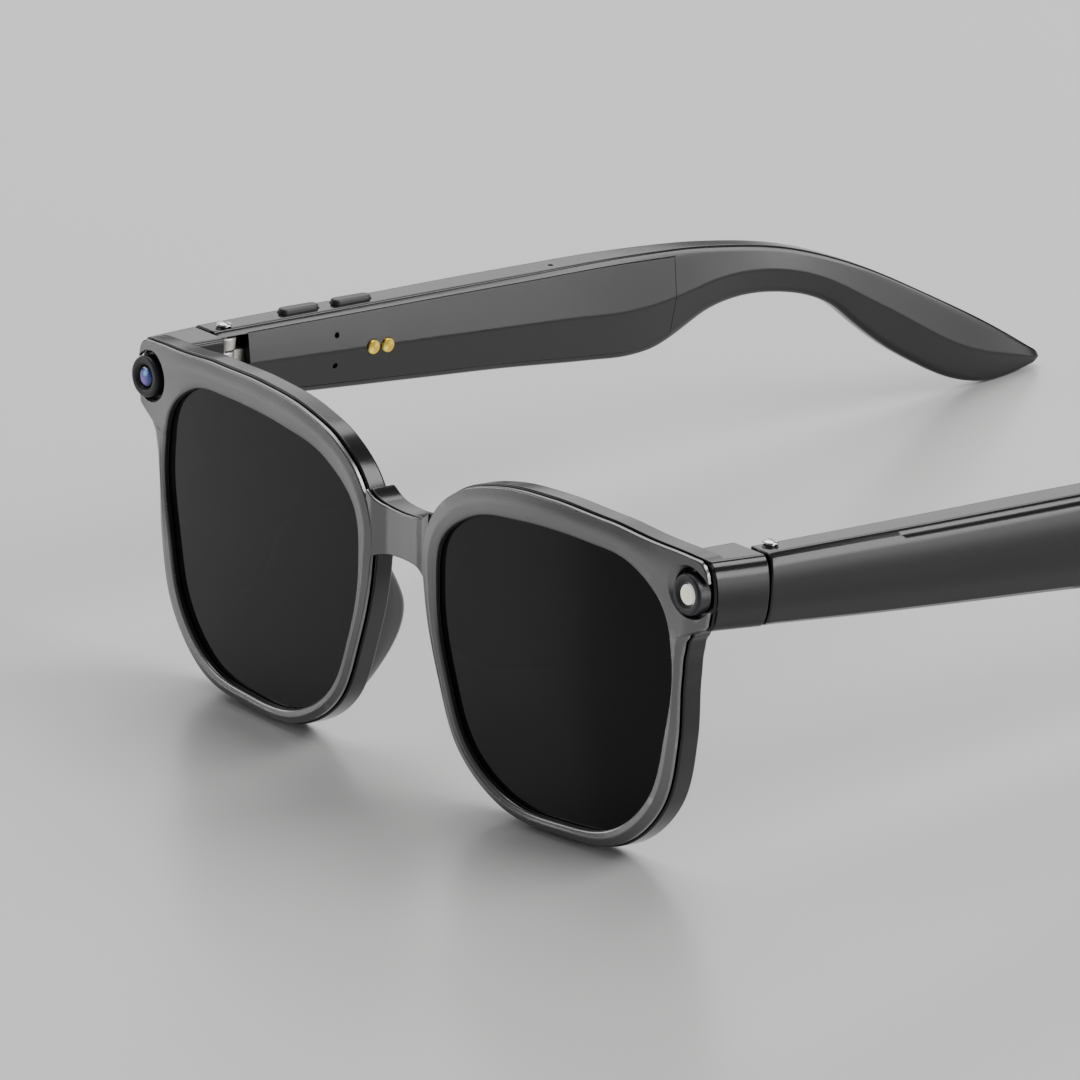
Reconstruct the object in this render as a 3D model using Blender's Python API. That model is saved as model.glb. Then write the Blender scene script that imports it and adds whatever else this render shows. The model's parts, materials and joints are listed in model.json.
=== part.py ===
"""Smart glasses: a front frame with camera and light, and two folding electronic temples.

Every size below is in millimetres; the meshes are written in metres.  The pieces are modelled in
the wearing frame: +X towards the wearer's left, +Y backwards along the temples, +Z up, with the
origin on the front surface of the bridge at the height of the temples' tops.  The last step lays
the glasses down on the rims and the temple tips, with +Z up and the floor at z = 0.
"""

import math

import bmesh
import bpy
import numpy as np
from mathutils import Euler, Matrix, Vector

MM = 0.001
GAP = 0.3                     # clearance left between neighbouring pieces
SLIDE_GAP = 0.2               # clearance of a piece that slides

# Front frame
FRONT_RADIUS = 500.0          # horizontal curvature of the frame's front surface
PANTO_ANGLE = math.radians(3.5)
EYE_CENTRE = (34.0, -24.0)
PLATE_DEPTH = 1.0             # thin front plate, bonded over the lenses
COVER_FRONT = PLATE_DEPTH + GAP
RIM_DEPTH = 4.7
COVER_BULGE = 0.3             # how far the back cover stands out around the plate
POCKET_GROW = 1.1             # the lens pocket is this much wider than the opening
LENS_GROW = 0.8
LENS_FRONT = 1.3
LENS_BACK = 2.9
COVER_FLANGE = 3.2            # lip of the back cover behind the lens
BEVEL = 0.45                  # bevels on the lens side
EDGE = 0.3                    # bevels on the outer edges
LENS_OPENING = ((58.8, -16.5), (57.0, -9.2), (51.2, -4.6), (41.7, -3.3), (27.0, -3.8), (16.2, -6.2),
                (10.1, -11.2), (9.0, -19.5), (11.6, -32.0), (15.8, -40.8), (23.7, -46.0),
                (36.3, -47.1), (47.6, -45.0), (54.2, -38.8), (57.4, -28.6))
RIM_OUTLINE = ((57.0, 0.0), (62.6, -0.35), (64.6, -0.6), (65.5, -1.5), (66.0, -3.4), (66.2, -5.6),
               (66.0, -7.8), (65.5, -9.7), (64.7, -10.8), (63.2, -11.6), (61.9, -12.8),
               (61.0, -15.0), (60.4, -19.0), (59.7, -28.8), (56.6, -39.8), (49.2, -46.9),
               (36.4, -49.1), (22.9, -47.9), (14.2, -42.0), (9.5, -32.0), (6.4, -20.0),
               (6.2, -12.0), (9.0, -6.6), (14.2, -2.5), (22.0, 0.1), (34.0, 1.2), (46.0, 0.9))
EYE_STEPS = 60
EAR_STEPS = 34                # finer steps round the ear that carries the camera or the light
EAR_ANGLES = (math.radians(16.0), math.radians(42.0))

# Bridge and nose pads
BRIDGE_STATIONS = (0.0, 2.0, 3.6, 4.8, 6.0, 7.2)
BRIDGE_TOPS = (-9.9, -9.8, -9.6, -9.3, -8.7, -7.9)
BRIDGE_BOTTOMS = (-16.7, -16.8, -17.0, -17.3, -17.8, -18.5)
BRIDGE_FACES = (1.25, 1.2, 1.1, 0.75, 0.4, 0.4)              # depth of the stepped-back face
BRIDGE_SHEET = 0.55           # thickness of the plate across the bridge
BRIDGE_GAP = 0.4              # clearance between the plate and the cover across the bridge
BRIDGE_BACK = 5.8
PAD_CRESTS = ((-19.2, 6.9, 7.6, 6.3), (-21.0, 7.1, 7.9, 7.6), (-23.7, 7.6, 8.7, 9.7),
              (-27.6, 8.7, 10.3, 12.4), (-30.6, 9.6, 11.3, 13.1), (-34.1, 10.9, 12.4, 12.7),
              (-37.5, 12.3, 13.5, 11.4), (-41.3, 14.3, 15.2, 9.6), (-44.0, 16.6, 17.3, 8.4),
              (-45.6, 18.8, 19.4, 7.9))       # height, root and crest places, crest depth
PAD_ROOT = 3.4                # depth of a pad's root, behind the lens
PAD_ROOT_WIDTH = 1.6
PAD_THICKNESS = 2.0

# End pieces, which carry the hinges
END_INNER = 58.8
END_OUTER = (66.7, 67.7)      # at the front and at the butt
END_TOP = (-0.45, -0.45)
END_BOTTOM = (-11.1, -11.3)
END_CROWN = 2.0               # how far the outer side bulges
END_ROUND = 0.8
END_BACK = 15.2

# Camera and light
MODULE_X = 62.9
MODULE_Z = -5.7
RECESS_RADIUS = 3.8
RECESS_DEPTH = 1.6
BEZEL_RADIUS = 3.1
BEZEL_PROUD = 0.8
BORE_RADIUS = 2.5
SEAT_THICKNESS = 1.4          # wall between the recess and the pocket behind it
MODULE_POCKET_RADIUS = 3.2
MODULE_POCKET_END = 10.0
GLASS_RADIUS = 1.5
GLASS_DEPTHS = (-0.7, 0.0)    # depths behind the front surface, also for the lines below
BARREL_DEPTHS = (1.3, 4.2)
BARREL_RADII = (1.0, 2.1)
CAMERA_BOARD_DEPTHS = (4.5, 5.1)
CAMERA_BOARD_HALF = 2.1
DIFFUSER_DEPTHS = (-0.8, 1.2)
LIGHT_BOARD_DEPTHS = (1.6, 2.2)
LIGHT_BOARD_HALVES = (1.9, 1.0)

# Temples
BUTT_Y = END_BACK + GAP
HINGE_RADIUS = 2.9            # distance from the hinge axis to the butt face and the inner face
TEMPLE_INNER = 60.9
HINGE_X = TEMPLE_INNER + HINGE_RADIUS
HINGE_Y = BUTT_Y + HINGE_RADIUS
HINGE_MIDDLE = -5.7
HINGE_LEAN = math.radians(5.0)  # the axes lean inwards at the top, so folded temples slope down
TEMPLE_TOP = ((15.5, -0.3), (40.0, -0.1), (73.0, 0.25), (95.0, 0.25), (110.7, -0.65), (126.2, -3.15),
              (139.4, -7.6), (152.4, -13.7), (165.6, -20.5), (174.8, -25.9))
TEMPLE_BOTTOM = ((15.5, -11.3), (34.4, -12.4), (55.3, -13.4), (72.0, -14.2), (88.0, -15.3),
                 (96.1, -15.7), (101.0, -15.1), (105.7, -13.2), (110.5, -10.9), (115.2, -9.8),
                 (124.5, -9.95), (130.4, -11.3), (134.5, -13.1), (139.5, -17.0), (145.3, -21.2),
                 (150.5, -24.2), (157.1, -27.4), (162.0, -28.7), (167.0, -28.9), (174.8, -27.2))
TEMPLE_RIDGE = ((15.5, -5.8), (30.0, -6.1), (53.6, -6.7), (68.7, -7.1), (81.2, -7.45), (95.9, -8.0),
                (104.1, -7.1), (112.4, -5.6), (119.5, -5.5), (129.9, -7.6), (143.4, -14.2),
                (159.0, -22.5), (174.8, -26.6))
TEMPLE_OUTER = ((15.5, 67.6), (75.0, 68.4), (110.0, 67.6), (140.0, 66.4), (174.8, 63.6))
TEMPLE_WIDTH = ((15.5, 6.7), (95.0, 6.9), (112.0, 5.4), (140.0, 4.6), (160.0, 4.2), (174.8, 2.2))
TEMPLE_STATIONS = 38
TEMPLE_END = 174.8
WALL = 1.2
PANEL_START = 21.9
PANEL_END = 103.0
PANEL_THICKNESS = 1.0
PANEL_EDGE = 1.1              # height of the shell's lip above and below the inner panel
CAVITY_START = 15.0
CAVITY_END = 99.0

# Electronics in the temples: places across, along and up
CELL_X, CELL_Y, CELL_Z = (62.9, 66.0), (52.0, 77.0), (-10.4, -1.8)
SPEAKER_X, SPEAKER_Y, SPEAKER_Z = (63.0, 66.0), (83.0, 95.0), (-12.0, -2.2)
BOARD_X, BOARD_Z = (65.0, 65.8), (-9.6, -2.6)
AUDIO_BOARD_Y = (29.0, 49.0)
MAIN_BOARD_Y = (27.5, 50.0)
SWITCH_BOARD_X, SWITCH_BOARD_Z = (-64.8, -63.8), (-2.7, -2.2)
CAPSULE = (1.0, 1.2, 0.9)     # depth, half length and half height of a microphone

# Hinges
LEAF_HALF = 1.1
KNUCKLE_RADIUS = 2.0
PIN_RADIUS = 0.8
SCREW_HEAD_RADIUS = 1.25
SCREW_HEAD_HEIGHT = 0.5
UPPER_KNUCKLE = (-3.6, -1.7)
MIDDLE_KNUCKLE = (-7.4, -3.9)
LOWER_KNUCKLE = (-9.6, -7.7)

# Details of the right temple
BUTTON_CENTRES = (33.3, 43.1)
BUTTON_LENGTH = 7.0
BUTTON_WIDTH = 1.9
BUTTON_PROUD = 0.7
BUTTON_DEPTH = 1.5            # from the temple top down to the foot of a button
BUTTON_X = 64.6
CONTACT_CENTRES = (44.9, 47.6)
CONTACT_RADIUS = 1.1
MICROPHONE_Y = 38.3
MICROPHONE_HEIGHTS = (-3.9, -8.6)
MICROPHONE_RADIUS = 0.45
TOP_MICROPHONE_Y = 80.4

COLOURS = {
    "frame": ((0.030, 0.030, 0.032), 0.22, 0.0),
    "lens": ((0.012, 0.012, 0.012), 0.06, 0.0),
    "metal": ((0.62, 0.60, 0.56), 0.30, 1.0),
    "gold": ((0.86, 0.62, 0.16), 0.28, 1.0),
    "board": ((0.02, 0.12, 0.06), 0.50, 0.0),
    "module": ((0.02, 0.02, 0.022), 0.35, 0.0),
    "glass": ((0.05, 0.08, 0.35), 0.04, 0.0),
    "diffuser": ((0.92, 0.90, 0.72), 0.30, 0.0),
    "cell": ((0.55, 0.56, 0.58), 0.35, 0.6),
}


# ---------------------------------------------------------------- curves

def smooth(points, at):
    """Value at one place of the smooth curve through (place, value) points."""
    places = np.array([point[0] for point in points])
    values = np.array([point[1] for point in points])
    slopes = np.gradient(values, places)
    index = int(np.clip(np.searchsorted(places, at) - 1, 0, len(places) - 2))
    span = places[index + 1] - places[index]
    t = min(max((at - places[index]) / span, 0.0), 1.0)
    start = (1 + 2 * t) * (1 - t) ** 2 * values[index] + t * (1 - t) ** 2 * span * slopes[index]
    end = t * t * (3 - 2 * t) * values[index + 1] + t * t * (t - 1) * span * slopes[index + 1]
    return float(start + end)


def polar(points):
    """Turn a closed outline round the eye centre into sorted (angle, radius) points."""
    turned = []
    for x, z in points:
        dx, dz = x - EYE_CENTRE[0], z - EYE_CENTRE[1]
        turned.append((math.atan2(dz, dx) % math.tau, math.hypot(dx, dz)))
    turned.sort()
    before = [(angle - math.tau, radius) for angle, radius in turned[-3:]]
    after = [(angle + math.tau, radius) for angle, radius in turned[:3]]
    return before + turned + after


def eye_angles():
    """Angles at which the rims are sampled, closer together round the ear."""
    even = np.linspace(0.0, math.tau, EYE_STEPS, endpoint=False)
    ear = np.linspace(EAR_ANGLES[0], EAR_ANGLES[1], EAR_STEPS)
    outside = [angle for angle in even if not EAR_ANGLES[0] - 0.02 < angle < EAR_ANGLES[1] + 0.02]
    return sorted(list(outside) + list(ear))


def front_y(x, z):
    """Depth of the frame's front surface at a place across the face."""
    return x * x / (2 * FRONT_RADIUS) - z * math.tan(PANTO_ANGLE)


def eye_ring(side, outline, grow, depth):
    """One closed loop of points round an eye, on the surface at a depth behind the front."""
    radii = polar(outline)
    ring = []
    for angle in eye_angles():
        radius = smooth(radii, angle) + grow
        x = EYE_CENTRE[0] + radius * math.cos(angle)
        z = EYE_CENTRE[1] + radius * math.sin(angle)
        ring.append((side * x, front_y(x, z) + depth, z))
    return ring


# ---------------------------------------------------------------- meshes

def finish(work, name, material, smooth_angle=35.0):
    """Close a working mesh into an object with outward faces and its own material."""
    bmesh.ops.recalc_face_normals(work, faces=work.faces)
    for vertex in work.verts:
        vertex.co *= MM
    mesh = bpy.data.meshes.new(name)
    work.to_mesh(mesh)
    work.free()
    mesh.shade_smooth()
    mesh.set_sharp_from_angle(angle=math.radians(smooth_angle))
    mesh.materials.append(principled(name, material))
    thing = bpy.data.objects.new(name, mesh)
    bpy.context.scene.collection.objects.link(thing)
    return thing


def principled(name, key):
    """Make the piece's own Principled material."""
    colour, roughness, metallic = COLOURS[key]
    material = bpy.data.materials.new(name)
    material.use_nodes = True
    shader = material.node_tree.nodes["Principled BSDF"]
    shader.inputs["Base Color"].default_value = (*colour, 1.0)
    shader.inputs["Roughness"].default_value = roughness
    shader.inputs["Metallic"].default_value = metallic
    return material


def loft(name, rings, material, closed=False):
    """Skin a row of equal rings, capped at both ends or joined end to end."""
    work = bmesh.new()
    rows = [[work.verts.new(point) for point in ring] for ring in rings]
    count = len(rows[0])
    pairs = list(zip(rows, rows[1:]))
    if closed:
        pairs.append((rows[-1], rows[0]))
    for first, second in pairs:
        for index in range(count):
            following = (index + 1) % count
            work.faces.new((first[index], first[following], second[following], second[index]))
    if not closed:
        work.faces.new(rows[0])
        work.faces.new(rows[-1])
        bmesh.ops.triangulate(work, faces=[face for face in work.faces if len(face.verts) > 4])
    return finish(work, name, material)


def box(name, low, high, material="module"):
    """Axis-aligned block between two corners."""
    (x0, y0, z0), (x1, y1, z1) = low, high
    rings = [[(x0, y, z0), (x1, y, z0), (x1, y, z1), (x0, y, z1)] for y in (y0, y1)]
    return loft(name, rings, material)


def cylinder(name, centre, radius, low, high, axis="Z", material="metal", steps=24):
    """Round bar about an axis through a centre, between two places along that axis."""
    rings = []
    for place in (low, high):
        ring = []
        for step in range(steps):
            angle = math.tau * step / steps
            a, b = radius * math.cos(angle), radius * math.sin(angle)
            ring.append(along_axis(centre, a, b, place, axis))
        rings.append(ring)
    return loft(name, rings, material)


def along_axis(centre, a, b, place, axis):
    """Point at two offsets from an axis and a place along it."""
    if axis == "Z":
        return (centre[0] + a, centre[1] + b, place)
    if axis == "Y":
        return (centre[0] + a, place, centre[1] + b)
    return (place, centre[0] + a, centre[1] + b)


def turned(name, centre, profile, axis="Y", material="module", steps=28):
    """Body turned about an axis from a closed (place, radius) profile off the axis."""
    rings = []
    for place, radius in profile:
        ring = []
        for step in range(steps):
            angle = math.tau * step / steps
            a, b = radius * math.cos(angle), radius * math.sin(angle)
            ring.append(along_axis(centre, a, b, place, axis))
        rings.append(ring)
    return loft(name, rings, material, closed=True)


def prism(name, outline, low, high, material="module"):
    """Plan outline in x and y extruded between two heights."""
    rings = [[(x, y, z) for x, y in outline] for z in (low, high)]
    return loft(name, rings, material)


def pill(centre_x, centre_y, length, width, steps=8):
    """Plan outline of a bar with round ends, long in y."""
    radius = width / 2
    reach = length / 2 - radius
    outline = []
    for end, start in ((1, 0.0), (-1, math.pi)):
        for step in range(steps + 1):
            angle = start + math.pi * step / steps
            x = centre_x + radius * math.cos(angle)
            outline.append((x, centre_y + end * reach + radius * math.sin(angle)))
    return outline


def combine(target, tool, operation, solver="EXACT"):
    """Boolean a hidden tool into a target with a live modifier."""
    tool.hide_render = True
    tool.display_type = "WIRE"
    tool.name = "cutter_" + tool.name
    modifier = target.modifiers.new(operation.lower() + "_" + tool.name, "BOOLEAN")
    modifier.operation = operation
    modifier.solver = solver
    modifier.object = tool
    return tool


def cut(target, *tools, solver="EXACT"):
    """Take tools away from a target."""
    for tool in tools:
        combine(target, tool, "DIFFERENCE", solver)
    return list(tools)


def weld(target, *tools):
    """Join tools to a target as one body."""
    for tool in tools:
        combine(target, tool, "UNION")
    return list(tools)


# ---------------------------------------------------------------- front frame

def profile_body(name, side, profile):
    """Rim body: a closed profile of (outline, grow, depth) carried round one eye."""
    rings = [eye_ring(side, outline, grow, depth) for outline, grow, depth in profile]
    return loft(name, rings, "frame", closed=True)


def front_profile():
    """Section of the front plate, from the lens opening outwards."""
    return ((LENS_OPENING, BEVEL, 0.0), (LENS_OPENING, 0.0, BEVEL), (LENS_OPENING, 0.0, PLATE_DEPTH),
            (RIM_OUTLINE, 0.0, PLATE_DEPTH), (RIM_OUTLINE, 0.0, EDGE), (RIM_OUTLINE, -EDGE, 0.0))


def cover_profile():
    """Section of the back cover's rims."""
    return ((LENS_OPENING, POCKET_GROW, COVER_FRONT), (LENS_OPENING, POCKET_GROW, COVER_FLANGE),
            (LENS_OPENING, 0.0, COVER_FLANGE), (LENS_OPENING, BEVEL, RIM_DEPTH),
            (RIM_OUTLINE, -BEVEL, RIM_DEPTH), (RIM_OUTLINE, COVER_BULGE, RIM_DEPTH - 2 * BEVEL),
            (RIM_OUTLINE, COVER_BULGE, COVER_FRONT + EDGE), (RIM_OUTLINE, COVER_BULGE - EDGE, COVER_FRONT))


def bridge_block(name, face, back):
    """Bar of the bridge between the rims, its face stepped back behind theirs."""
    rings = []
    for side, order in ((-1, -1), (1, 1)):
        for index in range(len(BRIDGE_STATIONS))[::order]:
            if side == 1 and index == 0:
                continue
            x = side * BRIDGE_STATIONS[index]
            low, high = BRIDGE_BOTTOMS[index], BRIDGE_TOPS[index]
            front = BRIDGE_FACES[index] + face
            rear = front + BRIDGE_SHEET if back is None else back
            rings.append([(x, front_y(x, z) + depth, z)
                          for depth, z in ((front, low), (rear, low), (rear, high), (front, high))])
    return loft(name, rings, "frame")


def recess_cutter(side):
    """Round recess that a bezel stands in."""
    seat = module_front() + RECESS_DEPTH
    return cylinder("recess", (side * MODULE_X, MODULE_Z), RECESS_RADIUS, seat - 6.0, seat, "Y", steps=36)


def module_front():
    """Depth of the front surface at the camera and light centres."""
    return front_y(MODULE_X, MODULE_Z)


def build_front_frame():
    """Front plate: two rims and the recessed bridge, bored for the camera and the light."""
    plate = profile_body("front_frame", 1, front_profile())
    tools = weld(plate, profile_body("rim", -1, front_profile()), bridge_block("plate_bridge", 0.0, None))
    return [plate] + tools + cut(plate, recess_cutter(1), recess_cutter(-1))


def end_section(at, depth):
    """Section of an end piece at its front (0) or butt (1): flat top, bulging outer side."""
    outer, inner, top, bottom = END_OUTER[at], END_INNER, END_TOP[at], END_BOTTOM[at]
    middle, half = (top + bottom) / 2, (top - bottom) / 2
    outline = [(inner, bottom + END_ROUND), (inner + END_ROUND, bottom)]
    for step in range(9):
        angle = -math.pi / 2 + math.pi * step / 8
        bulge = END_CROWN * math.cos(angle) ** 0.8 if 0 < step < 8 else 0.0
        outline.append((outer - END_CROWN + bulge, middle + half * math.sin(angle)))
    outline += [(inner + END_ROUND, top), (inner, top - END_ROUND)]
    return [(x, END_BACK if at else front_y(x, z) + depth, z) for x, z in outline]


def end_piece(side):
    """Hinge block behind an ear of the frame."""
    rings = [[(side * x, y, z) for x, y, z in end_section(at, COVER_FRONT + EDGE)] for at in (0, 1)]
    return loft("end_piece", rings, "frame")


def end_cutters(side):
    """Recess, bore and pocket of the camera or light, and the hinge slot, inside an end piece."""
    centre = (side * MODULE_X, MODULE_Z)
    seat = module_front() + RECESS_DEPTH
    bore = cylinder("bore", centre, BORE_RADIUS, seat - 2.0, seat + 3.0, "Y")
    pocket = cylinder("pocket", centre, MODULE_POCKET_RADIUS, seat + SEAT_THICKNESS, MODULE_POCKET_END,
                      "Y", steps=20)
    low_x, high_x = sorted((side * (HINGE_X - 1.9), side * (HINGE_X + 1.9)))
    slot = box("slot", (low_x, MODULE_POCKET_END - 1.0, LOWER_KNUCKLE[0] - GAP),
               (high_x, END_BACK + 2.0, UPPER_KNUCKLE[1] + GAP))
    return recess_cutter(side), bore, pocket, slot


def nose_pad(side):
    """Pad grown from the back of a rim towards the nose."""
    rings = []
    for z, root_x, crest_x, crest_y in PAD_CRESTS:
        root_y = front_y(root_x, z) + PAD_ROOT
        middle_x, middle_y = (root_x + crest_x) / 2, (root_y + crest_y) / 2
        ring = [(root_x, root_y), (middle_x - 0.1, middle_y), (crest_x, crest_y - 0.8),
                (crest_x + 0.7, crest_y), (crest_x + PAD_THICKNESS, crest_y - 0.6),
                (middle_x + PAD_THICKNESS - 0.1, middle_y), (root_x + PAD_ROOT_WIDTH, root_y)]
        rings.append([(side * x, y, z) for x, y in ring])
    return loft("nose_pad", rings, "frame")


def build_back_cover():
    """Back cover: rear halves of the rims, bridge, nose pads and hollow end pieces."""
    cover = profile_body("frame_back_cover", 1, cover_profile())
    tools = weld(cover, profile_body("rear_rim", -1, cover_profile()),
                 bridge_block("rear_bridge", BRIDGE_SHEET + BRIDGE_GAP, BRIDGE_BACK))
    for side in (1, -1):
        tools += weld(cover, end_piece(side), nose_pad(side))
    for side in (1, -1):
        tools += cut(cover, *end_cutters(side))
    return [cover] + tools


def build_lens(side, name):
    """Tinted lens, held in the pockets of plate and cover."""
    rings = [eye_ring(side, LENS_OPENING, LENS_GROW, depth) for depth in (LENS_FRONT, LENS_BACK)]
    work = bmesh.new()
    rows = []
    for depth, ring in zip((LENS_FRONT, LENS_BACK), rings):
        inner = []
        for x, _, z in ring:
            mid_x = (x + side * EYE_CENTRE[0]) / 2
            mid_z = (z + EYE_CENTRE[1]) / 2
            inner.append((mid_x, front_y(mid_x, mid_z) + depth, mid_z))
        rows.append(([work.verts.new(point) for point in ring],
                     [work.verts.new(point) for point in inner]))
        centre = work.verts.new((side * EYE_CENTRE[0], front_y(*EYE_CENTRE) + depth, EYE_CENTRE[1]))
        count = len(ring)
        outer_row, inner_row = rows[-1]
        for index in range(count):
            following = (index + 1) % count
            work.faces.new((outer_row[index], outer_row[following], inner_row[following],
                            inner_row[index]))
            work.faces.new((inner_row[index], inner_row[following], centre))
    front, back = rows[0][0], rows[1][0]
    for index in range(len(front)):
        following = (index + 1) % len(front)
        work.faces.new((front[index], front[following], back[following], back[index]))
    return [finish(work, name, "lens")]


# ---------------------------------------------------------------- camera and light

def build_bezel(side, name):
    """Black disc standing proud in the recess, with a central window."""
    front = module_front()
    profile = ((front - BEZEL_PROUD, GLASS_RADIUS + 0.5), (front - BEZEL_PROUD, BEZEL_RADIUS - 0.4),
               (front - BEZEL_PROUD + 0.4, BEZEL_RADIUS), (front + RECESS_DEPTH - GAP, BEZEL_RADIUS),
               (front + RECESS_DEPTH - GAP, GLASS_RADIUS + 0.2))
    return turned(name, (side * MODULE_X, MODULE_Z), profile)


def build_camera():
    """Camera: bezel, front glass, lens barrel and sensor board."""
    centre = (-MODULE_X, MODULE_Z)
    front = module_front()
    bezel = build_bezel(-1, "camera_bezel")
    glass = cylinder("camera_glass", centre, GLASS_RADIUS, front + GLASS_DEPTHS[0],
                     front + GLASS_DEPTHS[1], "Y", "glass")
    near, far = (front + depth for depth in BARREL_DEPTHS)
    inner, outer = BARREL_RADII
    barrel = turned("camera_barrel", centre, ((near, inner), (near, outer), (far, outer), (far, inner)))
    near, far = (front + depth for depth in CAMERA_BOARD_DEPTHS)
    half = CAMERA_BOARD_HALF
    board = box("camera_board", (-MODULE_X - half, near, MODULE_Z - half),
                (-MODULE_X + half, far, MODULE_Z + half), "board")
    return [bezel, glass, barrel, board]


def build_light():
    """Capture light: bezel, diffuser and LED board."""
    centre = (MODULE_X, MODULE_Z)
    front = module_front()
    bezel = build_bezel(1, "light_bezel")
    diffuser = cylinder("light_diffuser", centre, GLASS_RADIUS, front + DIFFUSER_DEPTHS[0],
                        front + DIFFUSER_DEPTHS[1], "Y", "diffuser")
    near, far = (front + depth for depth in LIGHT_BOARD_DEPTHS)
    half_x, half_z = LIGHT_BOARD_HALVES
    board = box("light_board", (MODULE_X - half_x, near, MODULE_Z - half_z),
                (MODULE_X + half_x, far, MODULE_Z + half_z), "board")
    return [bezel, diffuser, board]


# ---------------------------------------------------------------- temples

def temple_section(y, inset=0.0):
    """Section of a temple at one station, going round from the inner top edge."""
    top, bottom = smooth(TEMPLE_TOP, y) - inset, smooth(TEMPLE_BOTTOM, y) + inset
    ridge = smooth(TEMPLE_RIDGE, y)
    outer = smooth(TEMPLE_OUTER, y) - inset
    inner = smooth(TEMPLE_OUTER, y) - smooth(TEMPLE_WIDTH, y) + inset
    width, height = outer - inner, top - bottom
    lip = 0.16 * width
    outline = [(inner + 1.2 * lip, top), (outer - 0.22 * width, top),
               (outer - 0.10 * width, top - 0.07 * height),
               (outer - 0.02 * width, top - 0.25 * height), (outer, top - 0.5 * height),
               (outer - 0.03 * width, top - 0.75 * height), (outer - 0.12 * width, bottom + 0.08 * height),
               (outer - 0.26 * width, bottom), (inner + 1.8 * lip, bottom),
               (inner + 1.1 * lip, bottom + 0.10 * height), (inner, ridge),
               (inner + 0.9 * lip, top - 0.08 * height)]
    return [(x, y, z) for x, z in outline]


def stations(start, end, count):
    """Evenly spread places between two ends."""
    return [start + (end - start) * step / (count - 1) for step in range(count)]


def sided(rings, side):
    """Mirror rings to one side of the face."""
    return [[(side * x, y, z) for x, y, z in ring] for ring in rings]


def inner_face_x(y, z):
    """Sideways place of the temple's inner surface at a height."""
    section = temple_section(y)
    upper, ridge, lower = section[11], section[10], section[9]
    if z > ridge[2]:
        share = (z - ridge[2]) / (upper[2] - ridge[2])
        return ridge[0] + share * (upper[0] - ridge[0])
    share = (ridge[2] - z) / (ridge[2] - lower[2])
    return ridge[0] + share * (lower[0] - ridge[0])


def panel_section(y, near, far, spread):
    """Section of the inner panel: its face follows the ridge, its back is parallel."""
    top = smooth(TEMPLE_TOP, y) - PANEL_EDGE + spread
    bottom = smooth(TEMPLE_BOTTOM, y) + PANEL_EDGE - spread
    ridge = smooth(TEMPLE_RIDGE, y)
    heights = (top, ridge, bottom)
    face = [(inner_face_x(y, z) + near, y, z) for z in heights]
    back = [(inner_face_x(y, z) + far, y, z) for z in reversed(heights)]
    return face + back


def hinge_axis_x(z):
    """Sideways place of the leaning hinge axis at a height."""
    return HINGE_X - (z - HINGE_MIDDLE) * math.tan(HINGE_LEAN)


def hinge_ring(side, radius, z, steps=20):
    """Level circle of points about the hinge axis."""
    ring = []
    for step in range(steps):
        angle = math.tau * step / steps
        x = hinge_axis_x(z) + radius * math.cos(angle)
        ring.append((side * x, HINGE_Y + radius * math.sin(angle), z))
    return ring


def hinge_bar(name, side, radius, low, high, steps=20):
    """Round bar along the hinge axis between two heights."""
    return loft(name, [hinge_ring(side, radius, z, steps) for z in (low, high)], "metal")


def corner_cutter(side):
    """Waste at the temple's inner front corner, leaving a round about the hinge axis."""
    rings = []
    for z in (-20.0, 6.0):
        middle = hinge_axis_x(z)
        ring = [(middle - 6.0, BUTT_Y - 2.0), (middle + 0.01, BUTT_Y - 2.0)]
        for step in range(9):
            angle = -math.pi / 2 - math.pi / 2 * step / 8
            ring.append((middle + HINGE_RADIUS * math.cos(angle),
                         HINGE_Y + HINGE_RADIUS * math.sin(angle)))
        ring.append((middle - 6.0, HINGE_Y))
        rings.append([(side * x, y, z) for x, y in ring])
    return loft("corner", rings, "frame")


def temple_cutters(side):
    """Hollow, panel seat, hinge pocket and screw hole of a temple shell."""
    places = stations(PANEL_START - GAP, PANEL_END + GAP, 14)
    seat = loft("seat", sided([panel_section(y, -2.0, PANEL_THICKNESS + GAP, GAP) for y in places], side),
                "frame")
    hollow_places = stations(PANEL_START + 1.0, CAVITY_END, 12)
    hollow = loft("hollow", sided([hollow_section(y) for y in hollow_places], side), "frame")
    low_x, high_x = sorted((side * (TEMPLE_INNER - 4.0), side * (HINGE_X + KNUCKLE_RADIUS + 0.4)))
    pocket = box("pocket", (low_x, CAVITY_START, LOWER_KNUCKLE[0] - GAP),
                 (high_x, PANEL_START + 1.5, UPPER_KNUCKLE[1] + GAP))
    hole = hinge_bar("hole", side, PIN_RADIUS + GAP, -20.0, 6.0)
    return [corner_cutter(side), pocket, hollow, seat, hole]


def hollow_section(y):
    """Section of the space for the electronics behind the inner panel."""
    top = smooth(TEMPLE_TOP, y) - PANEL_EDGE - 0.5
    bottom = smooth(TEMPLE_BOTTOM, y) + PANEL_EDGE + 0.5
    inner = inner_face_x(y, smooth(TEMPLE_RIDGE, y)) + 0.2
    outer = smooth(TEMPLE_OUTER, y) - WALL - 0.3
    return [(inner, y, bottom), (outer, y, bottom), (outer, y, top), (inner, y, top)]


def build_temple_shell(side, name):
    """Outer shell of a temple: top, outer side, bottom and the whole tip."""
    places = stations(BUTT_Y, TEMPLE_END, TEMPLE_STATIONS)
    shell = loft(name, sided([temple_section(y) for y in places], side), "frame")
    tools = cut(shell, *temple_cutters(side), solver="MANIFOLD")
    return [shell] + tools


def build_panel(side, name):
    """Inner panel that closes a temple."""
    places = stations(PANEL_START, PANEL_END, 14)
    rings = [panel_section(y, 0.0, PANEL_THICKNESS, 0.0) for y in places]
    return [loft(name, sided(rings, side), "frame")]


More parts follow.
